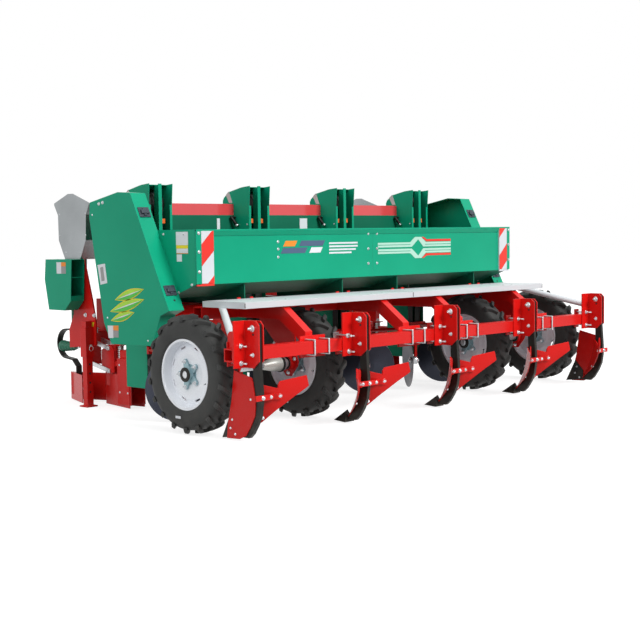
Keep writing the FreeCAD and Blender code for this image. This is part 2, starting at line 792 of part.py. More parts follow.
def disc_arm(x, side):
    """Stub shaft through the disc and the bar that carries it forward to the row casing."""
    centre = V(x + side * disc_offset, disc_y, disc_z)
    axis = disc_axis(side)
    stub = rod(14.0, centre.sub(axis * 14), centre.add(axis * 42))
    outer_hub = rod(30.0, centre.add(axis * (shaft_play + 0.3)), centre.add(axis * 40))
    cap = rod(22.0, centre.sub(axis * 16), centre.sub(axis * (disc_thick + shaft_play + 0.3)))
    end = centre.add(axis * 28)
    knee = V(end.x, end.y, disc_z + disc_radius + 38)
    root = V(x + side * (tower_half - 20), roller_y - 110, mount_z)
    bar = rod(13.0, end, knee)
    sleeve = rod(13.0, knee, root)
    ball = Part.makeSphere(13.0, knee)
    return fuse([stub, outer_hub, cap, bar, sleeve, ball])


def disc_carrier(x):
    """Plate on the row casing with the two arms of its discs."""
    plate = block(x - tower_half, x + tower_half, roller_y - 122, roller_y - 100,
                  mount_z - 25, mount_z + 25)
    return fuse([plate, disc_arm(x, -1), disc_arm(x, 1)])


for number, x in enumerate(row_centres, 1):
    for name, side in (("left", -1), ("right", 1)):
        save("disc_%d_%s" % (number, name), [covering_disc(x, side)])
save("disc_carriers", [disc_carrier(x) for x in row_centres])


# ---------------------------------------------------------------- row units at the front
link_front_y = front_bar_y - front_bar_size / 2
link_rear_y = 690.0
link_rise = 160.0
link_front_z = 455.0
link_rear_z = 408.0
link_offset = 45.0


def link_bar(x, z_front, z_rear):
    return prism_x([(link_front_y - 25, z_front - 15), (link_front_y - 25, z_front + 15),
                    (link_rear_y, z_rear + 15), (link_rear_y, z_rear - 15)], x - 5, x + 5)


links = []
for x in row_centres:
    for side in (-1, 1):
        for drop in (0, link_rise):
            links.append(link_bar(x + side * link_offset, link_front_z - drop, link_rear_z - drop))
link_lugs = [block(x - 40, x + 40, link_front_y - 50, link_front_y, front_bar_z - 180,
                   front_bar_z + 40) for x in row_centres]
save("front_toolbar", [fuse([front_bar()] + link_lugs)])
save("parallel_links", links)


unit_rear = tower_front + 220.0
unit_outline = [(unit_rear, 240), (unit_rear + 65, 230), (unit_rear + 147, 275), (unit_rear + 147, 390),
                (unit_rear + 75, 430), (unit_rear + 35, 430), (unit_rear, 390)]
spring_y = unit_rear - 27.0
spring_radius = 24.0
spring_foot = 318.0
spring_head = 430.0


def opener_unit(x):
    """Head that takes the links, the saddle that the spring stands on and the shoe's tail."""
    head = prism_x(unit_outline, x - 40, x + 40)
    saddle = prism_x([(unit_rear, 280), (unit_rear, spring_foot), (spring_y - 35, spring_foot),
                      (spring_y - 35, 300)], x - 34, x + 34)
    tail = block(x - 34, x + 34, tower_front, spring_y - 32, 300, 400)
    cap = block(x - 30, x + 30, spring_y - 32, unit_rear + 5, spring_head, spring_head + 8)
    neck = block(x - 30, x + 30, unit_rear - 3, unit_rear + 5, 388, spring_head + 8)
    return fuse([head, saddle, tail, cap, neck])


def unit_spring(x):
    return rod(spring_radius, V(x, spring_y, spring_foot), V(x, spring_y, spring_head))


save("opener_units", [opener_unit(x) for x in row_centres])
save("unit_springs", [unit_spring(x) for x in row_centres])


def winged_opener(x, nose_y, foot, top, length, half):
    """Pair of upright plates that part from a common nose."""
    outline = [(x, nose_y), (x + half, nose_y - length), (x + half - 7, nose_y - length),
               (x, nose_y - 18), (x - half + 7, nose_y - length), (x - half, nose_y - length)]
    return prism_z(outline, foot, top)


shoe_top = 230.0


def furrow_opener(x):
    """Furrow shoe: swept blades under the unit's head and a tall plate along each side behind."""
    blades = winged_opener(x, 807, tip_height, shoe_top, 360, 66)
    pieces = [blades, block(x - 12, x + 12, 662, 782, shoe_top - 90, 260)]
    for side in (-1, 1):
        x0, x1 = sorted((x + side * 56, x + side * 62))
        pieces.append(block(x0, x1, 434, 586, tip_height + 20, 345))
        x0, x1 = sorted((x + side * 34, x + side * 62))
        pieces.append(block(x0, x1, 434, 586, 330, 345))
    return fuse(pieces)


save("furrow_openers", [furrow_opener(x).cut(opener_unit(x)) for x in row_centres])


# ---------------------------------------------------------------- spring tines
tine_width = 45.0
tine_thick = 10.0
tine_radius = 105.0
boss_rear = 1135.0
boss_foot = tip_height + 40.0
front_opener_top = 205.0


def flat_bar(points, x0, x1, thick):
    """Bar of constant thickness along (y, z) points, with rounded corners."""
    pieces = []
    for start, end in zip(points[:-1], points[1:]):
        dy, dz = end[0] - start[0], end[1] - start[1]
        length = math.hypot(dy, dz)
        ny, nz = -dz / length * thick / 2, dy / length * thick / 2
        pieces.append(prism_x([(start[0] + ny, start[1] + nz), (end[0] + ny, end[1] + nz),
                               (end[0] - ny, end[1] - nz), (start[0] - ny, start[1] - nz)], x0, x1))
    for y, z in points[1:-1]:
        pieces.append(rod(thick / 2, V(x0, y, z), V(x1, y, z)))
    return fuse(pieces)


def spring_tine(x):
    """Flat bar looped forward of the toolbar, open at the rear."""
    x0, x1 = x - tine_width / 2, x + tine_width / 2
    top_z = front_bar_z + front_bar_size / 2 + tine_thick / 2
    loop_y = tine_reach - tine_radius - tine_thick / 2
    loop_z = top_z - tine_radius
    centre = V(x0, loop_y, loop_z)
    across = V(1, 0, 0)
    ring = Part.makeCylinder(tine_radius + tine_thick / 2, tine_width, centre, across)
    ring = ring.cut(Part.makeCylinder(tine_radius - tine_thick / 2, tine_width, centre, across))
    ring = ring.common(block(x0, x1, loop_y, tine_reach + 1, 0, 2 * top_z))
    top = block(x0, x1, front_bar_y - 40, loop_y, top_z - tine_thick / 2, top_z + tine_thick / 2)
    foot_y = boss_rear - tine_thick / 2
    tail = flat_bar([(loop_y, loop_z - tine_radius), (foot_y + 50, loop_z - tine_radius - 8),
                     (foot_y, loop_z - tine_radius - 55), (foot_y, boss_foot + 10)],
                    x0, x1, tine_thick)
    return fuse([top, ring, tail])


tine_centres = [-1.5 * row_spacing, -0.5 * row_spacing - 70, 0.5 * row_spacing + 70,
                1.5 * row_spacing]


front_opener_nose = 1235.0
front_opener_length = 290.0
front_opener_half = 105.0


def front_opener(x):
    """Winged opener on a boss that takes the end of the spring tine."""
    blades = winged_opener(x, front_opener_nose, tip_height, front_opener_top, front_opener_length,
                           front_opener_half)
    boss = block(x - 24, x + 24, boss_rear, boss_rear + 55, boss_foot, front_opener_top)
    return fuse([blades, boss])


save("spring_tines", [spring_tine(x) for x in tine_centres])
save("front_openers", [front_opener(x) for x in tine_centres])


# ---------------------------------------------------------------- side plates and stands
plate_thick = 12.0


def side_plate(side):
    x0, x1 = sorted((side * front_bar_half, side * (front_bar_half + plate_thick)))
    return prism_x([(740, 430), (1060, 400), (1060, 530), (1000, 640), (960, 1031), (860, 1031),
                    (780, 760), (740, 600)], x0, x1)


save("frame_side_plates", [side_plate(-1), side_plate(1)])

sleeve_foot = 350.0
sleeve_top = 560.0
leg_top = 600.0


def stand_sleeve(side):
    outer = stand_leg + 2 * stand_play + 2 * stand_wall
    inner = stand_leg + 2 * stand_play
    x = side * (front_bar_half + plate_thick + outer / 2)
    middle_z = (sleeve_foot + sleeve_top) / 2
    tube = centred(x, stand_y, middle_z, outer, outer, sleeve_top - sleeve_foot)
    return tube.cut(centred(x, stand_y, middle_z, inner, inner, sleeve_top))


def stand(side):
    outer = stand_leg + 2 * stand_play + 2 * stand_wall
    x = side * (front_bar_half + plate_thick + outer / 2)
    leg = centred(x, stand_y, leg_top / 2, stand_leg, stand_leg, leg_top)
    foot = centred(x, stand_y, 5, 90, 90, 10)
    return fuse([leg, foot])


save("stand_sleeves", [stand_sleeve(-1), stand_sleeve(1)])
save("stand_left", [stand(-1)])
save("stand_right", [stand(1)])


# ---------------------------------------------------------------- fertilizer hopper
fert_half = front_bar_half + plate_thick + 28.0
fert_sheet = 3.0
fert_foot = 1031.0
fert_rim = 1415.0
fert_section = [(739, fert_rim), (780, 1341), (790, 1164), (860, fert_foot), (1043, fert_foot),
                (1115, 1164), (1118, 1341), (1162, fert_rim)]
lid_axis_y = 732.0
lid_axis_z = fert_rim + 3.0
knuckle_radius = 6.0
knuckle_long = 60.0
knuckle_play = 1.0


def lid_knuckle(x0, x1, arm):
    """Hinge barrel with the arm, an outline of (y, z) points, that joins it to its sheet."""
    barrel = rod(knuckle_radius, V(x0, lid_axis_y, lid_axis_z), V(x1, lid_axis_y, lid_axis_z))
    return barrel.fuse(prism_x(arm, x0, x1))


def fertilizer_hopper():
    room = Part.Face(Part.makePolygon([V(-fert_half, y, z) for y, z in fert_section + fert_section[:1]]))
    room = room.makeOffset2D(-fert_sheet).extrude(V(2 * fert_half, 0, 0))
    mouth = block(-fert_half, fert_half, 745, 1154, fert_rim - 8, fert_rim + 1)
    body = prism_x(fert_section, -fert_half, fert_half).cut(room).cut(mouth)
    gable = fert_section + [(1162, fert_rim + 12), (991, fert_rim + 75), (931, fert_rim + 75),
                            (739, fert_rim + 8)]
    pieces = [body, prism_x(gable, -fert_half - fert_sheet, -fert_half),
              prism_x(gable, fert_half, fert_half + fert_sheet)]
    arm = [(lid_axis_y - 5, lid_axis_z), (lid_axis_y + 5, lid_axis_z), (746, fert_rim - 8),
           (750, fert_rim - 20), (742, fert_rim - 8)]
    for x in hinge_stations:
        for side in (-1, 1):
            near = x + side * (knuckle_long / 2 + knuckle_play)
            x0, x1 = sorted((near, near + side * knuckle_long / 2))
            pieces.append(lid_knuckle(x0, x1, arm))
    return fuse(pieces)


def fertilizer_lid(x0, x1):
    """Low-pitched sheet cover with its hinge barrels."""
    under = fert_rim + 0.3
    sheet = prism_x([(745, under), (1168, under), (1168, under + fert_sheet), (960, under + 12),
                     (745, under + fert_sheet)], x0, x1)
    arm = [(lid_axis_y, lid_axis_z + knuckle_radius), (lid_axis_y, lid_axis_z), (752, under + 0.5),
           (752, under + fert_sheet)]
    barrels = [lid_knuckle(x - knuckle_long / 2, x + knuckle_long / 2, arm)
               for x in hinge_stations if x0 < x < x1]
    return fuse([sheet] + barrels)


hinge_stations = [-1300.0, -750.0, -200.0, 200.0, 750.0, 1300.0]
save("fertilizer_hopper", [fertilizer_hopper()])
save("fertilizer_lid_left", [fertilizer_lid(-fert_half + 6, -3)])
save("fertilizer_lid_right", [fertilizer_lid(3, fert_half - 6)])

box_outline = [(841, fert_foot), (1158, fert_foot), (1176, 891), (1131, 675), (937, 674), (861, 742)]
box_sheet = 3.0
box_lap = 20.0                      # of a metering box under the end of the hopper
box_width = 110.0
box_lip = 36.0


def metering_box(side):
    """Sheet tray under the end of the hopper, open to the rear above a lip."""
    inner = side * (fert_half - box_lap)
    x0, x1 = sorted((inner, inner + side * box_width))
    face = Part.Face(Part.makePolygon([V(x0, y, z) for y, z in box_outline + box_outline[:1]]))
    room = face.makeOffset2D(-box_sheet).extrude(V(box_width - 2 * box_sheet, 0, 0))
    room.translate(V(box_sheet, 0, 0))
    mouth = block(x0 + box_sheet, x1 - box_sheet, 800, 900, 742 + box_lip, fert_foot - box_sheet)
    bar = rod(4.0, V(x0 + box_sheet, 872, 905), V(x1 - box_sheet, 872, 905))
    return prism_x(box_outline, x0, x1).cut(room).cut(mouth).fuse(bar)


save("metering_boxes", [metering_box(-1), metering_box(1)])

hose_radius = 18.0
hose_y = front_bar_y + front_bar_size / 2 + 39.0
hose_clear = 54.0                   # sideways from the tine that the hose passes
hose_bend = 45.0
bellows_rear = hose_y + 74.0
bellows_front = tine_reach - 42.9
bellows_z = 390.0


def hose(points):
    """Round hose along straight runs joined by arcs that leave each run along its line."""
    edges = []
    start = points[0]
    for before, corner, after in zip(points[:-2], points[1:-1], points[2:]):
        back = before.sub(corner).normalize()
        ahead = after.sub(corner).normalize()
        half = back.getAngle(ahead) / 2
        run = hose_bend / math.tan(half)
        first, last = corner.add(back * run), corner.add(ahead * run)
        inward = back.add(ahead).normalize()
        middle = corner.add(inward * (hose_bend / math.sin(half) - hose_bend))
        edges += [Part.makeLine(start, first), Part.Arc(first, middle, last).toShape()]
        start = last
    edges.append(Part.makeLine(start, points[-1]))
    section = Part.Wire(Part.makeCircle(hose_radius, points[0], points[1].sub(points[0])))
    return Part.Wire(edges).makePipeShell([section], True, False)


def bellows(x):
    """Ribbed cone that widens forward."""
    ribs = 5
    step = (bellows_front - bellows_rear) / ribs
    outline = [(bellows_rear, 0)]
    for i in range(ribs):
        outline.append((bellows_rear + i * step, 23 + 3 * i))
        outline.append((bellows_rear + (i + 0.5) * step, 30 + 3 * i))
    outline += [(bellows_front, 40), (bellows_front, 0)]
    points = [V(x, y, bellows_z + r) for y, r in outline]
    face = Part.Face(Part.makePolygon(points + points[:1]))
    return face.revolve(V(x, 0, bellows_z), V(0, 1, 0), 360)


def fertilizer_hose(x):
    """Drop hose that comes down beside a tine, turns in behind its loop and ends in a bellows."""
    out = x + math.copysign(hose_clear, x)
    points = [V(out, 952, fert_foot), V(out, 952, 940), V(out, hose_y, 760), V(out, hose_y, bellows_z),
              V(x, hose_y + hose_clear, bellows_z), V(x, bellows_rear + 10, bellows_z)]
    return fuse([hose(points), bellows(x)])


save("fertilizer_hoses", [fertilizer_hose(x) for x in tine_centres])


# ---------------------------------------------------------------- three-point headstock
ear_thick = 15.0
ear_gap = 70.0
mast_gap = 60.0
mast_z = hitch_z + mast_height
bar_face = front_bar_y + front_bar_size / 2


def bore_x(radius, x, y, z):
    return rod(radius, V(x - ear_thick, y, z), V(x + ear_thick, y, z))


def lower_ear(x):
    plate = prism_x([(bar_face, front_bar_z - 50), (bar_face, front_bar_z + 50),
                     (hitch_y - 20, hitch_z + 42), (hitch_y + 30, hitch_z + 42),
                     (hitch_y + 42, hitch_z + 28), (hitch_y + 42, hitch_z - 28),
                     (hitch_y + 20, hitch_z - 42)], x - ear_thick / 2, x + ear_thick / 2)
    return plate.cut(bore_x(hitch_bore, x, hitch_y, hitch_z))


def mast_ear(x):
    plate = prism_x([(bar_face, front_bar_z - 50), (bar_face, front_bar_z + 100),
                     (mast_y - 30, mast_z + 40), (mast_y + 30, mast_z + 40),
                     (mast_y + 30, mast_z - 30), (mast_y - 20, mast_z - 430),
                     (bar_face + 70, front_bar_z - 50)], x - ear_thick / 2, x + ear_thick / 2)
    return plate.cut(bore_x(mast_bore, x, mast_y, mast_z))


ears = [mast_ear(edge * (mast_gap + ear_thick) / 2) for edge in (-1, 1)]
for side in (-1, 1):
    ears += [lower_ear(side * hitch_half + edge * (ear_gap + ear_thick) / 2) for edge in (-1, 1)]
save("headstock", ears)
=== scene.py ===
import bpy
import bmesh
import json
import math
from mathutils import Matrix, Vector


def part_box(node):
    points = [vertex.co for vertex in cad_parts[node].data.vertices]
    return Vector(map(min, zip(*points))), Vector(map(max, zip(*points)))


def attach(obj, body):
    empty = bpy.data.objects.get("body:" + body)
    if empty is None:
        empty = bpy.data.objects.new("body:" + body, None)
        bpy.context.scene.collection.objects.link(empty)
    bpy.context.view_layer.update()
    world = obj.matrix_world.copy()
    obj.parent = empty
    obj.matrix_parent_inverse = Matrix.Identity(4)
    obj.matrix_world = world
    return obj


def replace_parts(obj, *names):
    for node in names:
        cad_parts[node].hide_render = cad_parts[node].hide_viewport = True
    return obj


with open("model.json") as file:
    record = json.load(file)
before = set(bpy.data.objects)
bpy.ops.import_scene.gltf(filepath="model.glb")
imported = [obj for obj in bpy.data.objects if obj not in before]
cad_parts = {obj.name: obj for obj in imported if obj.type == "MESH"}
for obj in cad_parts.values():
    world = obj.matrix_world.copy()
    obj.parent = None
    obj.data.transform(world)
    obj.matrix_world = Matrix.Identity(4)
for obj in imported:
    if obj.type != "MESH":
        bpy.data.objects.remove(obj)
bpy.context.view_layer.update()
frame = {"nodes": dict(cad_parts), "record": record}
nodes = frame["nodes"]
print("planter: frame loaded,", len(nodes), "nodes")

rowSpacing = 0.9
rows = [rowSpacing * k for k in (-1.5, -0.5, 0.5, 1.5)]
furrows = [rowSpacing * k for k in (-2, -1, 0, 1, 2)]
wheelPlaces = (2 * rowSpacing, rowSpacing)  # outer and inner wheel of a side
sides = ((-1, "left"), (1, "right"))
sheet = 0.004
tyreLow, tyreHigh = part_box("tyres_left")
axleY, axleZ = (tyreLow.y + tyreHigh.y) / 2, (tyreLow.z + tyreHigh.z) / 2


def newObject(name, data):
    thing = bpy.data.objects.new(name, data)
    bpy.context.scene.collection.objects.link(thing)
    return thing


def newMaterial(name):
    material = bpy.data.materials.new(name)
    material.use_nodes = True
    tree = material.node_tree
    return material, tree, tree.nodes["Principled BSDF"]


# a socket as the value links it, any other value is set on the input or setting of that name
def setNode(tree, node, values):
    for key, value in values.items():
        if isinstance(value, bpy.types.NodeSocket):
            tree.links.new(value, node.inputs[key])
        elif isinstance(key, int) or key in node.inputs:
            node.inputs[key].default_value = value
        else:
            setattr(node, key, value)
    return node


def addNode(tree, kind, values={}):
    return setNode(tree, tree.nodes.new("ShaderNode" + kind), values)


def mathOf(tree, operation, first, second):
    return addNode(tree, "Math", {"operation": operation, 0: first, 1: second}).outputs[0]


def objectPoint(tree):
    return addNode(tree, "TexCoord").outputs["Object"]


def noiseOf(tree, scale, detail=4.0, stretch=(1, 1, 1)):
    place = addNode(tree, "Mapping", {"Scale": stretch, "Vector": objectPoint(tree)}).outputs[0]
    return addNode(tree, "TexNoise", {"Scale": scale, "Detail": detail, "Vector": place}).outputs["Fac"]


def rangeOf(tree, value, low, high, toLow, toHigh):  # in the order of the node's inputs
    return addNode(tree, "MapRange", dict(enumerate((value, low, high, toLow, toHigh)))).outputs[0]


def mixOf(tree, share, first, second):
    first, second = ((*color, 1) if isinstance(color, tuple) else color for color in (first, second))
    return addNode(tree, "Mix", {"data_type": "RGBA", 0: share, 6: first, 7: second}).outputs[2]


# soft edges for the normal, and how far a point is from flat for the worn paint and the painted highlight on
# them
def edgeOf(tree, width):
    soft = addNode(tree, "Bevel", {"samples": 4, "Radius": width})
    flat = addNode(tree, "NewGeometry").outputs["True Normal"]
    dot = addNode(tree, "VectorMath", {"operation": "DOT_PRODUCT", 0: soft.outputs[0], 1: flat})
    return soft.outputs[0], dot.outputs["Value"]


# what a finish has unless it says otherwise
plainLook = dict(
    cloud=2.5, round=0.003, edge=0.25, dust=0, grain=300, bump=0.05, stretch=(1, 1, 1), metal=0.0, coat=0.0,
    specular=0.4, anisotropic=0.0)
dustLook = dict(color=(0.3, 0.25, 0.2), height=0.4, patches=18)
middling = (0.3, 0.7)  # where most of a noise's values lie


def surface(name, look):
    material, tree, shader = newMaterial(name)
    dark = tuple(c * (1 - look["spread"]) for c in look["color"])
    light = tuple(min(1, c * (1 + look["spread"]) + 0.002) for c in look["color"])
    color = mixOf(tree, rangeOf(tree, noiseOf(tree, look["cloud"]), *middling, 0, 1), dark, light)
    softNormal, flatness = edgeOf(tree, look["round"])
    # edges turn a lighter tint of the paint: partly worn paint, partly a painted highlight
    wearAndHighlight = rangeOf(tree, flatness, 0.995, 0.8, 0, look["edge"])
    color = mixOf(tree, wearAndHighlight, color, look.get("worn", light))
    point = addNode(tree, "SeparateXYZ", {0: objectPoint(tree)})
    if look["dust"]:
        low = rangeOf(tree, point.outputs["Z"], 0.0, dustLook["height"], look["dust"], 0)
        patch = rangeOf(tree, noiseOf(tree, dustLook["patches"], 6), 0.35, 0.7, 0, 1)
        color = mixOf(tree, mathOf(tree, "MULTIPLY", low, patch), color, dustLook["color"])
    if "behind" in look:  # a second colour on the rear of a piece
        limit, second = look["behind"]
        color = mixOf(tree, rangeOf(tree, point.outputs["Y"], limit, limit - 0.0005, 0, 1), color, second)
    grain = noiseOf(tree, look["grain"], 3, look["stretch"])
    rough = rangeOf(tree, grain, *middling, look["rough"] * 0.85, min(1, look["rough"] * 1.2))
    bump = addNode(tree, "Bump", {"Strength": look["bump"], "Distance": 0.001, "Height": grain,
                                  "Normal": softNormal}).outputs[0]
    setNode(tree, shader, {
        "Base Color": color, "Roughness": rough, "Normal": bump, "Metallic": look["metal"],
        "Coat Weight": look["coat"], "Coat Roughness": 0.1, "Specular IOR Level": look["specular"],
        "Anisotropic": look["anisotropic"]})
    return material


def paint(color, rough, spread=0.1, **more):
    return dict(plainLook, color=color, rough=rough, spread=spread, **more)


def label(color, spread=0.03, cloud=2.5):
    return paint(color, 0.38, spread, cloud=cloud, edge=0.0)


finishes = dict(
    redPaint=paint((0.66, 0.008, 0.006), 0.3, 0.06, coat=0.06, specular=0.18, worn=(0.86, 0.07, 0.06),
        dust=0.05, grain=220, edge=0.35),
    greenPaint=paint((0.002, 0.335, 0.188), 0.34, 0.05, coat=0.03, specular=0.14, worn=(0.06, 0.5, 0.36),
        grain=220, edge=0.35),
    # a darker copy of the green paint: painted shade for the parts under and behind the panels
    paintedShadeGreen=paint((0.002, 0.135, 0.075), 0.45, 0.12, specular=0.2, worn=(0.02, 0.24, 0.15), grain=220),
    beamPaint=paint((0.74, 0.06, 0.068), 0.22, 0.05, coat=0.6, worn=(0.86, 0.12, 0.11), grain=220),
    blackSteel=paint((0.012, 0.012, 0.01), 0.4, 0.2, specular=0.2, worn=(0.07, 0.07, 0.07), dust=0.15,
        grain=160),
    bladeSteel=paint((0.034, 0.038, 0.055), 0.32, 0.18, metal=0.6, worn=(0.3, 0.32, 0.37), grain=120,
        cloud=6),
    zincSteel=paint((0.56, 0.58, 0.6), 0.3, 0.12, metal=0.85, worn=(0.85, 0.86, 0.88), grain=90,
        cloud=25),
    stepPaint=paint((0.62, 0.66, 0.685), 0.42, 0.04, worn=(0.84, 0.87, 0.88), grain=120, bump=0.12),
    tyreRubber=paint((0.028, 0.029, 0.028), 0.58, 0.22, edge=0.3, worn=(0.075, 0.077, 0.08), dust=0.06,
        grain=400, bump=0.25, specular=0.3, cloud=8, round=0.005),
    rimPaint=paint((0.9, 0.93, 1.0), 0.26, 0.03, coat=0.3, worn=(0.92, 0.94, 0.98), grain=160),
    stainlessSheet=paint((0.33, 0.35, 0.36), 0.28, 0.22, metal=1.0, worn=(0.8, 0.81, 0.82), cloud=1.6,
        grain=60, stretch=(1, 30, 30), bump=0.06, anisotropic=0.4),
    beltRubber=paint((0.022, 0.026, 0.024), 0.6, 0.2, behind=(0.2465, (0.86, 0.15, 0.02))),
    hosePlastic=paint((0.006, 0.15, 0.08), 0.4, grain=200),
    springSteel=paint((0.6, 0.61, 0.6), 0.32, metal=0.75, grain=150),
    boardWhite=paint((0.66, 0.68, 0.72), 0.4, 0.02, grain=500, edge=0.0),
    boardRed=paint((0.8, 0.03, 0.018), 0.4, 0.03, grain=500, edge=0.0),
    labelWhite=label((0.74, 0.76, 0.8), 0.02),
    labelYellow=label((0.82, 0.7, 0.02)),
    labelLime=label((0.4, 0.72, 0.05), 0.1, 14),
    labelLeaf=label((0.07, 0.52, 0.05), 0.1, 14),
    labelOrange=label((0.86, 0.26, 0.02)),
    labelSlate=label((0.06, 0.105, 0.185), 0.05),
    labelGrey=label((0.3, 0.3, 0.3), 0.08),
    labelMint=label((0.44, 0.7, 0.58)),
    latchRubber=paint((0.03, 0.042, 0.058), 0.45, grain=200),
    strapWebbing=paint((0.5, 0.53, 0.52), 0.6, 0.06, grain=700, bump=0.3),
    hubCast=paint((0.3, 0.44, 0.48), 0.38, 0.12, metal=0.3, worn=(0.62, 0.75, 0.78), grain=90),
    collarPaint=paint((0.66, 0.67, 0.62), 0.3, 0.06, metal=0.45),
    openHole=paint((0.008, 0.008, 0.008), 0.8, 0.0, edge=0.0))
made = {name: surface(name, look) for name, look in finishes.items()}

slotFinish = {
    "red_paint": "redPaint", "green_paint": "greenPaint", "black_steel": "blackSteel",
    "disc_steel": "bladeSteel", "zinc_steel": "zincSteel", "step_grey": "stepPaint",
    "tyre_rubber": "tyreRubber", "rim_paint": "rimPaint", "stainless": "stainlessSheet",
    "belt_rubber": "beltRubber", "hose_green": "hosePlastic", "spring_steel": "springSteel"}
ownFinish = {"belt_drums": "blackSteel", "step_stays": "stepPaint", "top_beam": "beamPaint"}
for name in ("hopper_supports", "hopper_front_wall", "hopper_floor"):
    ownFinish[name] = "paintedShadeGreen"  # painted shade: a darker green on the parts under and behind the panels
for part in frame["record"]["subparts"]:
    mesh = nodes[part["node"]].data
    mesh.materials.clear()
    mesh.materials.append(made[ownFinish.get(part["node"], slotFinish[part["material_slot"]])])
print("planter:", len(made), "finishes")


class Maker:
    def __init__(self):
        self.bm = bmesh.new()

    def add(self, points, faces):
        corners = [self.bm.verts.new(point) for point in points]
        for face in faces:
            self.bm.faces.new([corners[i] for i in face])

    # rings of equally many points, each joined to the next, with flat ends unless the last joins the first
    def join(self, rings, closed=False):
        count = len(rings[0])
        faces = []
        for i in range(len(rings) if closed else len(rings) - 1):
            j = (i + 1) % len(rings)
            for k in range(count):
                m = (k + 1) % count
                faces.append((i * count + k, i * count + m, j * count + m, j * count + k))
        if not closed:
            faces.append(tuple(range(count))[::-1])
            faces.append(tuple((len(rings) - 1) * count + k for k in range(count)))
        self.add([point for ring in rings for point in ring], faces)

    # outline of (distance along the axis, radius) turned about the axis
    def lathe(self, centre, axis, outline, count=24, closed=False):
        centre, axis = Vector(centre), Vector(axis).normalized()
        across = axis.orthogonal().normalized()
        self.join([circle(centre + axis * along, across, axis.cross(across), radius, count)
                   for along, radius in outline], closed)

    # flat outline of points, thickened along the normal
    def plate(self, outline, normal, thick):
        shift = Vector(normal) * thick
        self.join([[Vector(point) for point in outline], [Vector(point) + shift for point in outline]])

    def box(self, low, high):
        self.plate([(x, y, low[2]) for x, y in block(low[0], high[0], low[1], high[1])],
                   (0, 0, 1), high[2] - low[2])

    def rod(self, start, end, radius, count=14):
        line = Vector(end) - Vector(start)
        tip = radius * 0.12
        self.lathe(start, line, [(0, radius - tip), (tip, radius), (line.length - tip, radius),
                                 (line.length, radius - tip)], count)

    def tube(self, path, radius, count=8, across=(0, 0, 1)):  # across: an axis the path never runs along
        rings = []
        for i, point in enumerate(path):
            ahead = (path[min(i + 1, len(path) - 1)] - path[max(i - 1, 0)]).normalized()
            side = ahead.cross(Vector(across)).normalized()
            rings.append(circle(point, side, side.cross(ahead), radius, count))
        self.join(rings)

    def finish(self, name, finish="zincSteel", body="frame", bevel=0.0, smooth=True):
        bmesh.ops.recalc_face_normals(self.bm, faces=self.bm.faces)
        mesh = bpy.data.meshes.new(name)
        self.bm.to_mesh(mesh)
        self.bm.free()
        piece = newObject(name, mesh)
        mesh.materials.append(made[finish])
        if bevel:
            edge = piece.modifiers.new("edges", "BEVEL")
            edge.width = bevel
            edge.segments = 2
            edge.limit_method = "ANGLE"
            edge.angle_limit = math.radians(40)
        if smooth:
            mesh.shade_smooth()
            if not bevel:
                mesh.set_sharp_from_angle(angle=math.radians(38))
            else:
                piece.modifiers.new("shade", "WEIGHTED_NORMAL").keep_sharp = True
        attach(piece, body)
        return piece


def circle(centre, across, up, radius, count):
    angles = [2 * math.pi * i / count for i in range(count)]
    return [centre + radius * (math.cos(a) * across + math.sin(a) * up) for a in angles]


def block(low, high, foot, top):  # rectangle as an outline
    return [(low, foot), (high, foot), (high, top), (low, top)]


# hexagon head or nut with its washer, and the bolt's end standing out of it
def boltOn(maker, point, normal, size, length=0.0):
    point, normal = Vector(point), Vector(normal).normalized()
    maker.lathe(point, normal, [(0, size * 1.45), (size * 0.25, size * 1.45), (size * 0.3, size * 1.35)], 20)
    start = point + normal * (size * 0.3)
    maker.lathe(start, normal, [(0, size * 0.98), (size * 0.05, size), (size * 0.72, size),
                                (size * 0.85, size * 0.84)], 6)
    if length:
        maker.lathe(start, normal, [(0, size * 0.5), (length, size * 0.5),
                                    (length + size * 0.1, size * 0.42)], 12)


def domeOn(maker, point, normal, size):
    maker.lathe(point, normal, [(0, size), (size * 0.25, size * 0.92), (size * 0.5, size * 0.6),
                                (size * 0.6, size * 0.25)], 16)


# rows at (y, z) spots of a face that looks along X
def boltsOn(maker, x, side, spots, size, length=0.0):
    for y, z in spots:
        boltOn(maker, (x, y, z), (side, 0, 0), size, length)


def domesOn(maker, x, side, spots, size):
    for y, z in spots:
        domeOn(maker, (x, y, z), (side, 0, 0), size)


def holeOn(maker, point, normal, radius, lift=0.0006):
    maker.lathe(point, normal, [(0, radius), (lift, radius)], 20)


# plate outline of (y, z) points standing just off a face that looks along X
def sidePatch(maker, x, side, outline, lift=0.0006):
    maker.plate([(x, y, z) for y, z in outline], (side, 0, 0), lift)


def rearPatch(maker, y, outline, lift=0.0006):
    maker.plate([(x, y, z) for x, z in outline], (0, -1, 0), lift)


markFinish = {"red": "boardRed", "green": "greenPaint"}  # the other marks are labels


def newMarks(colors):
    return {color: Maker() for color in colors.split()}


def finishMarks(marks, group):
    for color, maker in marks.items():
        finish = markFinish.get(color, "label" + color.capitalize())
        maker.finish(group + color, finish, smooth=False)


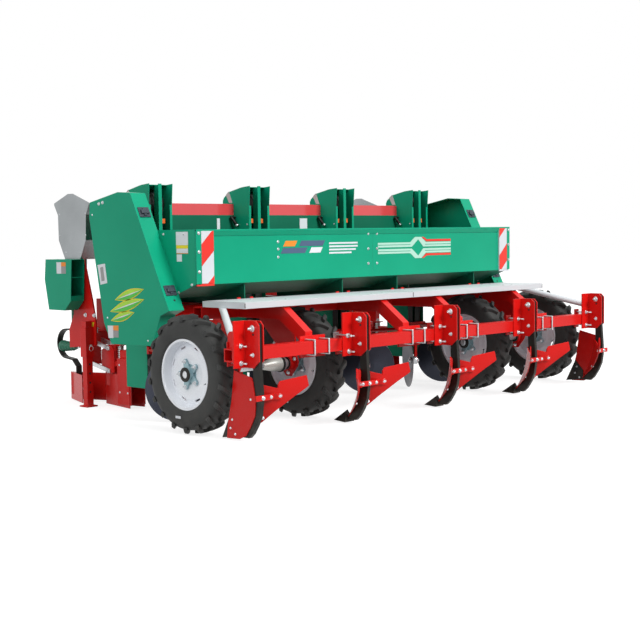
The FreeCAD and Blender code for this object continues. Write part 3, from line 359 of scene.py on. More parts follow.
# wall: (across, radius) from the bead to the tread; lug: (across, radius, turn) from its root to the shoulder
tyreLook = dict(
    lugs=18, crown=0.36, lugHalf=0.013, lugFoot=0.326, segments=108, face=0.0795,
    wall=[(-0.055, 0.2065), (-0.063, 0.209), (-0.071, 0.218), (-0.0745, 0.226), (-0.0765, 0.228),
        (-0.0785, 0.245), (-0.0798, 0.262), (-0.0798, 0.282), (-0.0788, 0.296), (-0.0765, 0.308),
        (-0.072, 0.32), (-0.064, 0.329), (-0.045, 0.3345), (-0.02, 0.337)],
    lug=[(0.003, 0.36, 0), (0.02, 0.36, 2.6), (0.045, 0.3585, 5.8), (0.066, 0.354, 8.2), (0.0785, 0.345, 9.5),
        (0.0795, 0.322, 10.0)],
    mark=block(-0.637, -0.589, 0.094, 0.11))
lugTurn = math.degrees(tyreLook["lugHalf"] / tyreLook["crown"])


def wheelPoint(x, radius, degrees):
    turn = math.radians(degrees)
    return Vector((x, axleY - radius * math.sin(turn), axleZ - radius * math.cos(turn)))


def addLug(maker, x, side, middle):
    rings = []
    for offset, crown, turn in tyreLook["lug"]:
        foot = min(crown - 0.01, tyreLook["lugFoot"])
        flank = (crown + foot) / 2
        corners = ((foot, -1.7), (flank, -1.25), (crown, -1), (crown, 1), (flank, 1.25), (foot, 1.7))
        rings.append([wheelPoint(x + side * offset, radius, middle + turn + lugTurn * wide)
                      for radius, wide in corners])
    maker.join(rings)


def makeTyres(side, name, look=tyreLook):
    casing, lugs, marks = Maker(), Maker(), Maker()
    body = "axle_%s_body" % name
    step = 360 / look["lugs"]
    wall = look["wall"] + [(-x, radius) for x, radius in look["wall"][::-1]]
    for x in (side * place for place in wheelPlaces):
        casing.lathe((x, axleY, axleZ), (1, 0, 0), wall, look["segments"], closed=True)
        for i in range(look["lugs"]):
            addLug(lugs, x, 1, i * step + lugTurn)
            addLug(lugs, x, -1, (i + 0.5) * step + lugTurn)
        for face in (-1, 1):
            sidePatch(marks, x + face * look["face"], face, look["mark"], 0.0008)
    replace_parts(casing.finish("casings_" + name, "tyreRubber", body), "tyres_" + name)
    lugs.finish("tread_lugs_" + name, "tyreRubber", body, bevel=0.003)
    marks.finish("tyre_marks_" + name, "labelWhite", body, smooth=False)


for side, name in sides:
    makeTyres(side, name)
print("planter: tyres made")


# outlines are (along the axle, radius) of the hubs' parts; the flange and the cap have places of their own
hubLook = dict(
    arms=5, firstArm=199, armReach=0.08, armHalf=0.016, waist=0.042, starThick=0.016, shaft=0.0225,
    bolt=(0.009, 0.016), flangeFrom=-0.0285, capFrom=-0.0625,
    barrel=[(-0.062, 0.038), (-0.059, 0.044), (0.027, 0.044), (0.03, 0.04)],
    flange=[(0, 0.06), (0.0, 0.062), (0.0165, 0.055)],
    seal=[(0, 0.044), (0.004, 0.044), (0.008, 0.034), (0.008, 0.024), (0.002, 0.022)],
    cap=[(0, 0.0225), (0.004, 0.0225), (0.006, 0.016), (0.006, 0.006)])
# the collar on the axle beside the inner bearing, outwards from its root
collarLook = dict(
    root=1.03, ring=[(0, 0.03), (0.024, 0.03), (0.026, 0.045), (0.0445, 0.046)],
    seal=[(0.045, 0.05), (0.047, 0.053), (0.058, 0.053), (0.06, 0.05)],
    cone=[(0.06, 0.046), (0.09, 0.0455), (0.135, 0.04), (0.175, 0.031), (0.21, 0.0245)])
valveLook = dict(root=-0.03, reach=0.176, turn=75, stem=0.0045, cap=0.0038)
armTurns = [hubLook["firstArm"] + i * 360 / hubLook["arms"] for i in range(hubLook["arms"])]


def starOutline(x, look=hubLook):
    outline = []
    for middle in armTurns:
        centre = wheelPoint(x, look["armReach"], middle)
        for around in range(-90, 91, 30):
            outline.append(centre + wheelPoint(x, look["armHalf"], middle + around) - Vector((x, axleY, axleZ)))
        outline.append(wheelPoint(x, look["waist"], middle + 180 / look["arms"]))
    return outline


def makeAxle(side, name, look=hubLook):
    shaft, barrels, stars, nuts, seals, cones, rings = (Maker() for _ in range(7))
    body = "axle_%s_body" % name
    low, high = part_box("axle_" + name)
    shaft.rod((low.x, axleY, axleZ), (high.x, axleY, axleZ), look["shaft"], 40)
    for x in (side * place for place in wheelPlaces):
        barrels.lathe((x, axleY, axleZ), (1, 0, 0), look["barrel"], 40)
        flange = x + look["flangeFrom"]
        barrels.lathe((flange, axleY, axleZ), (1, 0, 0), look["flange"], 40)
        stars.plate(starOutline(flange), (-1, 0, 0), look["starThick"])
        for turn in armTurns:
            place = wheelPoint(flange - look["starThick"], look["armReach"], turn)
            boltOn(nuts, place, (-1, 0, 0), *look["bolt"])
        cap = (x + look["capFrom"], axleY, axleZ)
        seals.lathe(cap, (-1, 0, 0), look["seal"], 40)
        nuts.lathe(cap, (-1, 0, 0), look["cap"], 32)
    for maker, outline in ((rings, "ring"), (seals, "seal"), (cones, "cone")):
        maker.lathe((side * collarLook["root"], axleY, axleZ), (side, 0, 0), collarLook[outline], 48)
    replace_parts(shaft.finish("axle_shaft_" + name, body=body), "axle_" + name)
    barrels.finish("hub_barrels_" + name, "hubCast", body)
    stars.finish("hub_stars_" + name, "hubCast", body, bevel=0.003)
    nuts.finish("wheel_nuts_" + name, body=body)
    seals.finish("hub_seals_" + name, "blackSteel", body)
    cones.finish("axle_cones_" + name, "collarPaint", body)
    rings.finish("axle_rings_" + name, body=body)


def makeValves(side, name, look=valveLook):
    stems, caps = Maker(), Maker()
    for x in (side * place for place in wheelPlaces):
        root = wheelPoint(x + look["root"], look["reach"], look["turn"])
        stems.rod(root, root - Vector((0.026, 0, 0)), look["stem"])
        caps.rod(root - Vector((0.024, 0, 0)), root - Vector((0.036, 0, 0)), look["cap"])
    stems.finish("valve_stems_" + name, "latchRubber", "axle_%s_body" % name)
    caps.finish("valve_caps_" + name, body="axle_%s_body" % name)


for side, name in sides:
    makeAxle(side, name)
    makeValves(side, name)
print("planter: axles and hubs made")


# fasteners of the shank brackets: (behind the toolbar, height, size) on the web, the rest on the flange
bracketLook = dict(
    web=0.0205, webBolts=[(-0.072, 0.656, 0.014), (-0.075, 0.506, 0.009)], webHole=(-0.079, 0.622, 0.007),
    flangeBolts=[0.555, 0.457], flangeAcross=-0.05, flange=0.008, boltSize=0.0105, stud=0.044, shank=0.006,
    clampHalf=0.028, clampHeights=(0.435, 0.577))
toolbarSize = 0.076
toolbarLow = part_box("rear_toolbar")[0]
toolbarRear, toolbarFront, toolbarTop = toolbarLow.y, toolbarLow.y + toolbarSize, toolbarLow.z + toolbarSize
armPlaces = (-1.205, -0.29, 0.29, 1.205)


def makeBracketBolts(look=bracketLook):
    bolts, holes, clamps = Maker(), Maker(), Maker()
    flange, half = look["flange"], look["clampHalf"]
    clampFoot, clampTop = look["clampHeights"]
    for x in furrows:
        for side, end in ((-1, 1.9), (1, 0.9)):  # the bolts' ends stand out on the left
            face = x + side * look["web"]
            for back, z, size in look["webBolts"]:
                boltOn(bolts, (face, toolbarRear + back, z), (side, 0, 0), size, size * end)
            back, z, size = look["webHole"]
            holeOn(holes, (face, toolbarRear + back, z), (side, 0, 0), size)
        across = x + look["flangeAcross"]
        for z in look["flangeBolts"]:
            boltOn(bolts, (across, toolbarRear - flange, z), (0, -1, 0), look["boltSize"], look["stud"])
            bolts.rod((across, toolbarRear, z), (across, toolbarFront, z), look["shank"])
            boltOn(bolts, (across, toolbarFront + flange, z), (0, 1, 0), look["boltSize"])
        clamps.box((across - half, toolbarFront, clampFoot), (across + half, toolbarFront + flange, clampTop))
    bolts.finish("bracket_bolts")
    holes.finish("bracket_holes", "openHole", smooth=False)
    clamps.finish("bracket_clamps", "redPaint", bevel=0.0015)


# rod with a ball nut beside the second bracket, in its eye on the toolbar
markerLook = dict(
    front=(-0.99, -1.062, 0.562), ball=(-1.044, -1.228, 0.565), tail=(-1.058, -1.272, 0.566), rod=0.0065,
    eyeHalf=0.014, eyeDepth=(0.03, 0.006),
    nut=[(-0.013, 0.004), (-0.011, 0.009), (-0.006, 0.0125), (0.0, 0.0135), (0.006, 0.0125), (0.011, 0.009),
        (0.013, 0.004)])


def makeMarkerRod(look=markerLook):
    rod, eye = Maker(), Maker()
    front, half = Vector(look["front"]), look["eyeHalf"]
    behind, ahead = look["eyeDepth"]
    rod.rod(front, look["tail"], look["rod"])
    rod.lathe(look["ball"], (0, 1, 0), look["nut"], 24)
    eye.box((front.x - half, front.y - behind, toolbarTop), (front.x + half, front.y - ahead, front.z + half))
    rod.finish("marker_rod")
    eye.finish("marker_rod_eye", bevel=0.002)


uBoltLook = dict(offsets=(-0.044, 0.08), fromEnd=0.006, plate=0.012, nut=(0.01, 0.02))


def makeUBoltNuts(look=uBoltLook):
    nuts = Maker()
    low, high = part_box("u_bolts")
    for x in armPlaces:
        for offset in look["offsets"]:
            for z in (low.z + look["fromEnd"], high.z - look["fromEnd"]):
                boltOn(nuts, (x + offset, high.y + look["plate"], z), (0, 1, 0), *look["nut"])
    nuts.finish("u_bolt_nuts")


makeBracketBolts()
makeMarkerRod()
makeUBoltNuts()
print("planter: toolbar fasteners made")


# bolts of the ridging bodies: (along the wing, height, size) from the nose, on both of its faces
ridgerLook = dict(
    wingBolts=[(0.156, 0.268, 0.0095), (0.082, 0.14, 0.0075)], plate=0.006, sweeps=(46, 55), fold=0.14,
    strapAcross=0.062, strapBolt=(0.0075, 0.006), middleBolt=(0.009, 0.01),
    endBolts=[(-1.03, 0.12), (-1.015, 0.07), (-1.055, 0.038), (-1.19, 0.25)], endPlate=(0.0125, 0.0185),
    endNut=(0.008, 0.006), endHead=0.0085, nose=[(-1.07629, 0.024), (-1.15529, 0.155), (-1.18829, 0.385)])


# the nose follows a circle through its foot, middle and head, worked out with y + z i as complex numbers
def noseCircle():
    foot, middle, head = (complex(*point) for point in ridgerLook["nose"])
    turn = (head - foot) / (middle - foot)
    centre = foot + (middle - foot) * (turn - abs(turn) ** 2) / (2j * turn.imag)
    return centre.real, centre.imag, abs(foot - centre)


noseY, noseZ, noseRadius = noseCircle()


def noseAt(z):
    depth = math.sqrt(noseRadius ** 2 - (z - noseZ) ** 2)
    return noseY - math.copysign(depth, noseY - ridgerLook["nose"][-1][0])


# a point on the front face of a wing and the way out of it
def onWing(x, side, along, z, look=ridgerLook):
    sweep, tip = (math.radians(turn) for turn in look["sweeps"])
    inner = min(along, look["fold"])
    outer = along - inner
    point = Vector((x + side * (inner * math.sin(sweep) + outer * math.sin(tip)),
                    noseAt(z) - inner * math.cos(sweep) - outer * math.cos(tip), z))
    turn = tip if outer else sweep
    lean = (noseAt(z + 0.005) - noseAt(z - 0.005)) / 0.01
    return point, Vector((side * math.cos(turn), math.sin(turn), -math.sin(turn) * lean)).normalized()


def makeRidgerBolts(look=ridgerLook):
    nuts, heads = Maker(), Maker()
    strapLow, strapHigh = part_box("ridger_straps")
    strapZ = (strapLow.z + strapHigh.z) / 2
    strapRear = strapHigh.y - look["plate"]
    nutFace, headFace = look["endPlate"]
    for x in furrows:
        outer = (x > 0) - (x < 0) if abs(x) == furrows[-1] else 0  # the side without a wing
        for side in (-1, 1):
            if side == outer:
                continue
            for along, z, size in look["wingBolts"]:
                point, out = onWing(x, side, along, z)
                boltOn(nuts, point - out * look["plate"], -out, size, size * 0.8)
                domeOn(heads, point, out, size)
            boltOn(nuts, (x + side * look["strapAcross"], strapRear, strapZ), (0, -1, 0), *look["strapBolt"])
        boltOn(nuts, (x, strapRear, strapZ), (0, -1, 0), *look["middleBolt"])
        if outer:
            domesOn(heads, x + outer * headFace, outer, look["endBolts"], look["endHead"])
            boltsOn(nuts, x + outer * nutFace, -outer, look["endBolts"], *look["endNut"])
    nuts.finish("ridger_nuts")
    heads.finish("ridger_bolt_heads")


makeRidgerBolts()
print("planter: ridger bolts made")


# coil springs of the row units, each round its guide rod
springLook = dict(
    turns=8, wire=0.0045, radius=0.019, steps=20, ends=0.005, guide=0.009, guideTop=0.03, nut=0.013,
    nutLift=0.008)


def makeSprings(look=springLook):
    coils, guides = Maker(), Maker()
    low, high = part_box("unit_springs")
    y = (low.y + high.y) / 2
    count = look["turns"] * look["steps"]
    climb = high.z - low.z - 2 * look["ends"]
    for x in rows:
        path = []
        for i in range(count + 1):
            a = 2 * math.pi * i / look["steps"]
            path.append(Vector((x + look["radius"] * math.cos(a), y + look["radius"] * math.sin(a),
                                low.z + look["ends"] + climb * i / count)))
        coils.tube(path, look["wire"])
        guides.rod((x, y, low.z), (x, y, high.z + look["guideTop"]), look["guide"])
        boltOn(guides, (x, y, high.z + look["nutLift"]), (0, 0, 1), look["nut"])
    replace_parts(coils.finish("coil_springs", "springSteel"), "unit_springs")
    guides.finish("spring_guides")


# bolts through the links, heads and shoes of the row units
unitLook = dict(
    rise=0.16, rearZ=0.408, frontZ=0.45, fromEnd=0.018, linkFace=0.05, bolt=(0.0105, 0.006), shoeFace=0.062,
    shoeBolts=([(0.59, 0.3), (0.5, 0.3), (0.59, 0.11), (0.5, 0.11)], 0.008))


def makeUnitBolts(look=unitLook):
    bolts = Maker()
    low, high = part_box("parallel_links")
    ends = [spot for drop in (0, look["rise"]) for spot in
            ((low.y + look["fromEnd"], look["rearZ"] - drop), (high.y, look["frontZ"] - drop))]
    for x in rows:
        for side in (-1, 1):
            boltsOn(bolts, x + side * look["linkFace"], side, ends, *look["bolt"])
            domesOn(bolts, x + side * look["shoeFace"], side, *look["shoeBolts"])
    bolts.finish("row_unit_bolts")


makeSprings()
makeUnitBolts()
print("planter: row units finished")


# hazard boards with slanted bands, corner strips and bolts on the hopper; heights of the bolts at its rear
hopperLook = dict(
    stripWidth=0.04, boardWidth=0.1, board=(0.889, 1.213), slant=0.094, band=0.136,
    bandFeet={-1: (0.996, 0.708), 1: (1.139, 0.862)}, stripBolts=(1.2, 1.084, 0.962),
    panelBolts=(1.183, 1.078, 0.974), panelAcross=0.046, braceBolts=(1.138, 1.09, 1.038), braceX=-0.926,
    sideBolts=[(-0.4, 1.196), (-0.2, 1.196), (0.0, 1.196), (0.2, 1.196), (-0.47, 0.882), (-0.34, 0.832),
        (-0.2, 0.792), (0.0, 0.782)],
    bolt=0.0065, stripBolt=0.0075, filletHalf=1.59, filletHeights=(1.18, 1.2105))
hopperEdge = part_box("hopper_sides")[1].x
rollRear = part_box("hopper_rear_panels")[0].y
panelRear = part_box("hopper_rear_panels")[1].y - sheet


# the part of an outline of (x, z) that lies between two heights
def clipped(outline, low, high):
    for level, keep in ((low, 1), (high, -1)):
        result = []
        for (x0, z0), (x1, z1) in zip(outline, outline[1:] + outline[:1]):
            inside0, inside1 = keep * (z0 - level) >= 0, keep * (z1 - level) >= 0
            if inside0:
                result.append((x0, z0))
            if inside0 != inside1:
                result.append((x0 + (x1 - x0) * (level - z0) / (z1 - z0), level))
        outline = result
    return outline


def makeBoards(look=hopperLook):
    white, red, strips, bolts, fillet = (Maker() for _ in range(5))
    low, high = look["board"]
    rise, band, size = look["slant"], look["band"], look["bolt"]
    stripFace = rollRear - 0.0005
    boardFace = stripFace - 0.001
    for side in (-1, 1):
        edge = side * hopperEdge
        inner = edge - side * look["stripWidth"]
        far = inner - side * look["boardWidth"]
        strips.box((edge, stripFace, low - 0.003), (inner, panelRear, high + 0.009))
        white.box((inner, boardFace, low), (far, panelRear, high))
        left, right = sorted((inner, far))
        for foot in look["bandFeet"][side]:
            outline = [(left, foot), (right, foot + rise), (right, foot + rise + band), (left, foot + band)]
            rearPatch(red, boardFace, clipped(outline, low, high), 0.0008)
        corner, ledge, under = edge - side * sheet, low - 0.006, low - 0.016  # the strip along the foot
        outline = [(corner, under), (far, under), (far, low - 0.001), (inner, low - 0.001), (inner, ledge),
                   (corner, ledge)]
        (red if side < 0 else white).plate([(x, boardFace, z) for x, z in outline], (0, 1, 0), 0.012)
        for z in look["stripBolts"]:
            boltOn(bolts, ((edge + inner) / 2, stripFace, z), (0, -1, 0), look["stripBolt"])
        for z in look["panelBolts"]:
            boltOn(bolts, (side * look["panelAcross"], panelRear, z), (0, -1, 0), size)
        boltsOn(bolts, edge, side, look["sideBolts"], size)
    for z in look["braceBolts"]:
        boltOn(bolts, (look["braceX"], panelRear, z), (0, -1, 0), size)
    half = look["filletHalf"]  # the fillet closes the step under the rolled edge
    foot, top = look["filletHeights"]
    fillet.plate([(-half, panelRear, top), (-half, rollRear + 0.0003, top), (-half, panelRear, foot)],
                 (1, 0, 0), 2 * half)
    fillet.finish("panel_roll_fillet", "greenPaint", smooth=False)
    white.finish("hazard_boards_white", "boardWhite", bevel=0.001)
    red.finish("hazard_boards_red", "boardRed", smooth=False)
    strips.finish("hopper_corner_strips", "greenPaint", bevel=0.002)
    bolts.finish("hopper_bolts")


# plain bars and stripes in the panel's colours, with nothing written on them: the band parts round a
# diamond, and its outlines are (x, height off the middle); bars are (colour, left, right, foot, top)
stripeLook = dict(
    middle=1.077,
    band=[(0.057, 0.04), (0.412, 0.04), (0.468, 0.078), (0.538, 0.078), (0.592, 0.04), (0.887, 0.04),
        (0.887, 0.006), (0.562, 0.006), (0.503, 0.06), (0.43, 0.006), (0.057, 0.006)],
    line=[(0.544, 0.078), (0.564, 0.078), (0.604, 0.06), (0.887, 0.06), (0.887, 0.044), (0.594, 0.044)],
    splits=(block(0.057, 0.414, 0.021, 0.025), block(0.582, 0.887, 0.021, 0.025)),
    bars=[("orange", -0.88, -0.748, 1.106, 1.143), ("slate", -0.734, -0.482, 1.106, 1.143),
        ("slate", -0.904, -0.652, 1.06, 1.097), ("white", -0.638, -0.506, 1.06, 1.097)],
    lean=0.024, lineLeft=-0.444, lineRights=(-0.156, -0.156, -0.176, -0.22), lineTop=1.128, linePitch=0.022,
    lineHigh=0.012)


def makePanelStripes(look=stripeLook):
    marks = newMarks("mint red orange slate white green")
    y = panelRear - 0.0004
    lean = look["lean"]
    for up in (1, -1):
        for color, face, outline in (("mint", y, look["band"]), ("red", y, look["line"]),
                                     *(("green", y - 0.0005, split) for split in look["splits"])):
            rearPatch(marks[color], face, [(x, look["middle"] + up * height) for x, height in outline])
    for color, left, right, foot, top in look["bars"]:
        rearPatch(marks[color], y, [(left, foot), (right - lean, foot), (right, top), (left + lean, top)])
    for i, right in enumerate(look["lineRights"]):
        top = look["lineTop"] - i * look["linePitch"]
        rearPatch(marks["white"], y, block(look["lineLeft"], right, top - look["lineHigh"], top))
    finishMarks(marks, "panel_stripes_")


makeBoards()
makePanelStripes()
print("planter: hopper boards and stripes made")


# latches on the sloping rear edge of the side covers as blocks of (half width, half length, from, to), and
# (spots, size) of bolts and round heads on their faces; those of the side plates stand beside the raised stand
coverLook = dict(
    edgeTop=(-0.023, 1.46), edgeFoot=(-0.389, 0.724), latchHeights=(1.336, 0.846),
    latch=[(0.043, 0.035, 0, 0.007), (0.03, 0.014, 0.007, 0.02), (0.012, 0.026, 0.007, 0.015)], hole=0.786,
    holeIn=0.01, holeSize=0.007, bolts=([(0.308, 1.4), (0.268, 1.407)], 0.0075),
    domes=([(0.385, 1.33), (0.245, 0.66), (-0.175, 0.53)], 0.007),
    plateBolts=([(0.782, 0.64), (0.886, 0.64)], 0.0105))
# blank labels as outlines of (y, z), with how far each lies off the face of its node
labelLook = {
    "side_cover_right": [
        ("white", 0, [(0.343, 1.002), (0.259, 1.012), (0.239, 0.886), (0.313, 0.873)]),
        ("grey", 0.0004, [(0.313, 0.985), (0.28, 0.992), (0.266, 0.903), (0.3, 0.896)]),
        ("white", 0, [(0.248, 0.609), (0.187, 0.611), (0.187, 0.53), (0.24, 0.528)]),
        ("orange", 0, [(0.187, 0.611), (0.131, 0.613), (0.131, 0.58), (0.187, 0.58)]),
        ("grey", 0, [(0.187, 0.58), (0.131, 0.58), (0.131, 0.536), (0.187, 0.534)])],
    "hopper_sides": [
        ("white", 0, block(-0.44, -0.324, 1.127, 1.21)), ("yellow", 0, block(-0.438, -0.326, 1.106, 1.127)),
        ("white", 0, block(-0.438, -0.326, 1.078, 1.106)), ("orange", 0, block(-0.438, -0.326, 1.074, 1.078)),
        ("white", 0, block(-0.378, -0.328, 1.025, 1.07))],
    "metering_boxes": [
        ("white", 0, block(0.996, 1.053, 0.932, 1.012)), ("orange", 0, block(0.94, 0.996, 0.983, 1.012)),
        ("grey", 0, block(0.94, 0.996, 0.932, 0.983))],
    "frame_side_plates": [
        ("yellow", 0, [(0.905, 0.59), (0.786, 0.592), (0.802, 0.541), (0.92, 0.538)])]}
# three leaves on each side cover: (middle, half length, half width), rising to the rear
leafLook = dict(
    leaves=[((0.01, 0.816), 0.158, 0.033), ((0.036, 0.745), 0.186, 0.036), ((0.085, 0.673), 0.13, 0.03)],
    rise=14, rim=0.006, steps=12, rib=0.004, ribShare=0.85, layer=0.0004)


# one edge of a leaf, from its front tip to its rear tip
def leafEdge(middle, reach, half, up, look=leafLook):
    turn = math.radians(look["rise"])
    outline = []
    for i in range(look["steps"] + 1):
        along = reach * (1 - 2 * i / look["steps"])
        across = up * half * math.sin(math.pi * i / look["steps"])
        outline.append((middle[0] + along * math.cos(turn) + across * math.sin(turn),
                        middle[1] - along * math.sin(turn) + across * math.cos(turn)))
    return outline


def wholeLeaf(middle, reach, half):
    return leafEdge(middle, reach, half, 1) + leafEdge(middle, reach, half, -1)[-2:0:-1]


def coverEdge(x, z):  # the point at that height on the covers' sloping edge
    (y1, z1), (y0, z0) = coverLook["edgeTop"], coverLook["edgeFoot"]
    return Vector((x, y0 + (y1 - y0) * (z - z0) / (z1 - z0), z))


def makeCoverTrim(look=coverLook):
    rubber, bolts, holes = Maker(), Maker(), Maker()
    marks = newMarks("white grey orange lime leaf yellow")
    low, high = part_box("side_cover_right")
    down = (coverEdge(0, low.z) - coverEdge(0, high.z)).normalized()
    out = Vector((0, down.z, -down.y))
    for side in (-1, 1):
        middle, face = side * (low.x + high.x) / 2, side * high.x
        for z in look["latchHeights"]:
            for half, length, start, end in look["latch"]:
                corners = [coverEdge(middle + dx * half, z) + down * (dl * length) + out * start
                           for dx, dl in block(-1, 1, -1, 1)]
                rubber.plate(corners, out, end - start)
        holeOn(holes, coverEdge(middle - side * look["holeIn"], look["hole"]), out, look["holeSize"])
        boltsOn(bolts, face, side, *look["bolts"])
        domesOn(bolts, face, side, *look["domes"])
        for node, labels in labelLook.items():
            for color, lift, outline in labels:
                sidePatch(marks[color], side * (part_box(node)[1].x + lift), side, outline)
        for spot, reach, half in leafLook["leaves"]:
            inner = spot, reach - 2 * leafLook["rim"], half - leafLook["rim"]
            layers = {"yellow": wholeLeaf(spot, reach, half), "lime": wholeLeaf(*inner),
                      "leaf": leafEdge(*inner, -1),
                      "white": wholeLeaf(spot, leafLook["ribShare"] * reach, leafLook["rib"])}
            for i, color in enumerate(layers):
                sidePatch(marks[color], face + side * leafLook["layer"] * i, side, layers[color])
        boltsOn(bolts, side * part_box("frame_side_plates")[1].x, side, *look["plateBolts"])
    rubber.finish("cover_latches", "latchRubber", bevel=0.003)
    bolts.finish("cover_bolts")
    holes.finish("cover_holes", "openHole", smooth=False)
    finishMarks(marks, "plain_labels_")


makeCoverTrim()
print("planter: side cover trim made")


# straps over the lids of the towers, tensioners beside them, and pale gauge strips in the hopper
towerLook = dict(
    half=0.1, strap=0.0025, strapFoot=[(0.352, 1.418), (0.387, 1.418)],
    strapTop=[(0.42, 1.4747), (0.385, 1.4974)], strapKnee=(0.391, 1.496), strapOut=0.002,
    lever=[(0.325, 1.316, 0.042), (0.3, 1.262, 0.014)], leverSize=0.011, pinSize=0.008,
    domes=([(0.2, 1.26), (0.43, 1.26)], 0.007), gaugeTop=1.306, gaugeDepth=(0.3345, 0.338),
    gauges=[(-0.716, -0.688, 1.15), (0.115, 0.195, 1.19)])


def makeTowerTrim(look=towerLook):
    straps, levers, ends, gauges, bolts = (Maker() for _ in range(5))
    half, thick = look["half"], look["strap"]
    front, rear = look["strapTop"]
    bends = (rear, look["strapKnee"], front)
    for x in rows:
        for side in (-1, 1):
            sidePatch(straps, x + side * half, side, look["strapFoot"] + look["strapTop"], thick)
            domesOn(bolts, x + side * half, side, *look["domes"])
        left, right = x - half - look["strapOut"], x + half + look["strapOut"]
        for (ya, za), (yb, zb) in zip(bends, bends[1:]):
            normal = Vector((0, za - zb, yb - ya)).normalized()
            straps.plate([(left, ya, za), (right, ya, za), (right, yb, zb), (left, yb, zb)], normal, thick)
        top, foot = (Vector((x - half - out, y, z)) for y, z, out in look["lever"])
        levers.rod(top, foot, look["leverSize"])
        levers.rod((x - half, top.y, top.z - sheet), top, look["pinSize"])
        ends.rod(foot, foot + (foot - top).normalized() * 0.014, 0.0125, 20)
    gaugeRear, gaugeFront = look["gaugeDepth"]
    for left, right, foot in look["gauges"]:
        gauges.box((left, gaugeRear, foot), (right, gaugeFront, look["gaugeTop"]))
    straps.finish("lid_straps", "strapWebbing", bevel=0.0008)
    levers.finish("belt_tensioners", "blackSteel")
    ends.finish("tensioner_ends")
    gauges.finish("hopper_gauges", "labelWhite", bevel=0.0008)
    bolts.finish("tower_bolts")


# joints between the step's boards, its end caps, and the clips at its front edge
stepLook = dict(
    seam=0.004, seamHalf=0.003, clips=(-0.055, 0.055), clipHalf=0.014, clipThick=0.006, clipTop=0.789,
    boltRows=(-0.6, -0.8), bolt=0.008)


def makeStepTrim(look=stepLook):
    seams, clips, bolts = Maker(), Maker(), Maker()
    low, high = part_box("step_board")
    seam, wide, half = look["seam"], look["seamHalf"], look["clipHalf"]
    for x in (low.x + seam, seam, high.x - seam):
        seams.box((x - wide, low.y - 0.0006, low.z + 0.004), (x + wide, low.y, high.z - 0.004))
        seams.box((x - wide, low.y, high.z), (x + wide, high.y, high.z + 0.0005))
    for x in (place + offset for place in armPlaces for offset in look["clips"]):
        clips.box((x - half, high.y, low.z + 0.006), (x + half, high.y + look["clipThick"], look["clipTop"]))
        for y in look["boltRows"]:
            domeOn(bolts, (x, y, high.z), (0, 0, 1), look["bolt"])
    seams.finish("step_seams", "openHole", smooth=False)
    clips.finish("step_clips", "redPaint", bevel=0.001)
    bolts.finish("step_bolts")


makeTowerTrim()
makeStepTrim()
print("planter: tower and step trim made")


# pin holes up the parking stands, with the pin and its ring through each sleeve
standLook = dict(
    leg=0.025, holes=(0.3, 0.235, 0.17, 0.105), hole=0.0075, pin=0.43, pinSize=0.008, pinRear=0.018,
    pinFront=0.022, ring=(0.016, 0.018), ringIn=0.014, ringWire=0.002, ringSteps=20)


def makeStands(look=standLook):
    pins = Maker()
    pin, steps, size = look["pin"], look["ringSteps"], look["pinSize"]
    sleeveRear, sleeveFront = (corner.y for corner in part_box("stand_sleeves"))
    wide, high = look["ring"]
    for side, name in sides:
        holes = Maker()
        low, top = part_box("stand_" + name)
        x, y = (low.x + top.x) / 2, (low.y + top.y) / 2
        for z in look["holes"]:
            for face in (-1, 1):
                holeOn(holes, (x, y + face * look["leg"], z), (0, face, 0), look["hole"], 0.0002)
        holes.finish("stand_holes_" + name, "openHole", "stand_%s_body" % name, smooth=False)
        pins.rod((x, sleeveRear - look["pinRear"], pin), (x, sleeveRear, pin), size)
        pins.rod((x, sleeveFront, pin), (x, sleeveFront + look["pinFront"], pin), size)
        ring = [Vector((x + wide * math.cos(a), sleeveRear - look["ringIn"], pin - high + high * math.sin(a)))
                for a in [math.pi / 2 + 2 * math.pi * i / steps for i in range(steps + 1)]]
        pins.tube(ring, look["ringWire"], 6, (0, 1, 0))
    pins.finish("stand_pins")


# bolts round the bearings: (ahead, above) from the axle; seals and hubs as (outwards, radius)
bearingLook = dict(
    stations=(1.0, 1.5), bolts=[(-0.058, 0.028), (0.058, 0.028), (0.0, -0.062)], plate=0.006,
    bolt=(0.0095, 0.008), housing=0.025, nipple=(0.048, 0.06), nippleSize=0.004,
    seal=[(0, 0.04), (0.003, 0.038), (0.003, 0.024), (0, 0.024)])
discLook = dict(
    offset=0.26, y=-0.263, z=0.214, toe=38, frontFace=0.0012, rearFace=0.0068,
    front=[(0, 0.0305), (0.004, 0.0315), (0.034, 0.0315), (0.0395, 0.029), (0.0395, 0.016)],
    rear=[(0, 0.0228), (0.007, 0.0228), (0.0095, 0.019)], frontNut=(0.0405, 0.0125, 0.008),
    rearNut=(0.016, 0.01, 0))


def makeBearings(look=bearingLook):
    bolts, seals = Maker(), Maker()
    spots = [(axleY + ahead, axleZ + above) for ahead, above in look["bolts"]]
    for x in (side * station for side in (-1, 1) for station in look["stations"]):
        for face in (-1, 1):
            boltsOn(bolts, x + face * look["plate"], face, spots, *look["bolt"])
            seals.lathe((x + face * look["housing"], axleY, axleZ), (face, 0, 0), look["seal"], 36)
        foot, top = look["nipple"]
        bolts.rod((x, axleY, axleZ + foot), (x, axleY, axleZ + top), look["nippleSize"])
    bolts.finish("bearing_bolts")
    seals.finish("bearing_seals", "blackSteel")


def makeDiscHubs(look=discLook):
    hubs = Maker()
    toe = math.radians(look["toe"])
    for x in rows:
        for side in (-1, 1):
            axis = Vector((side * math.cos(toe), -math.sin(toe), 0))
            centre = Vector((x + side * look["offset"], look["y"], look["z"]))
            for way, end in ((axis, "front"), (-axis, "rear")):
                hubs.lathe(centre + way * look[end + "Face"], way, look[end], 32)
                reach, size, length = look[end + "Nut"]
                boltOn(hubs, centre + way * reach, way, size, length)
    hubs.finish("disc_hubs")


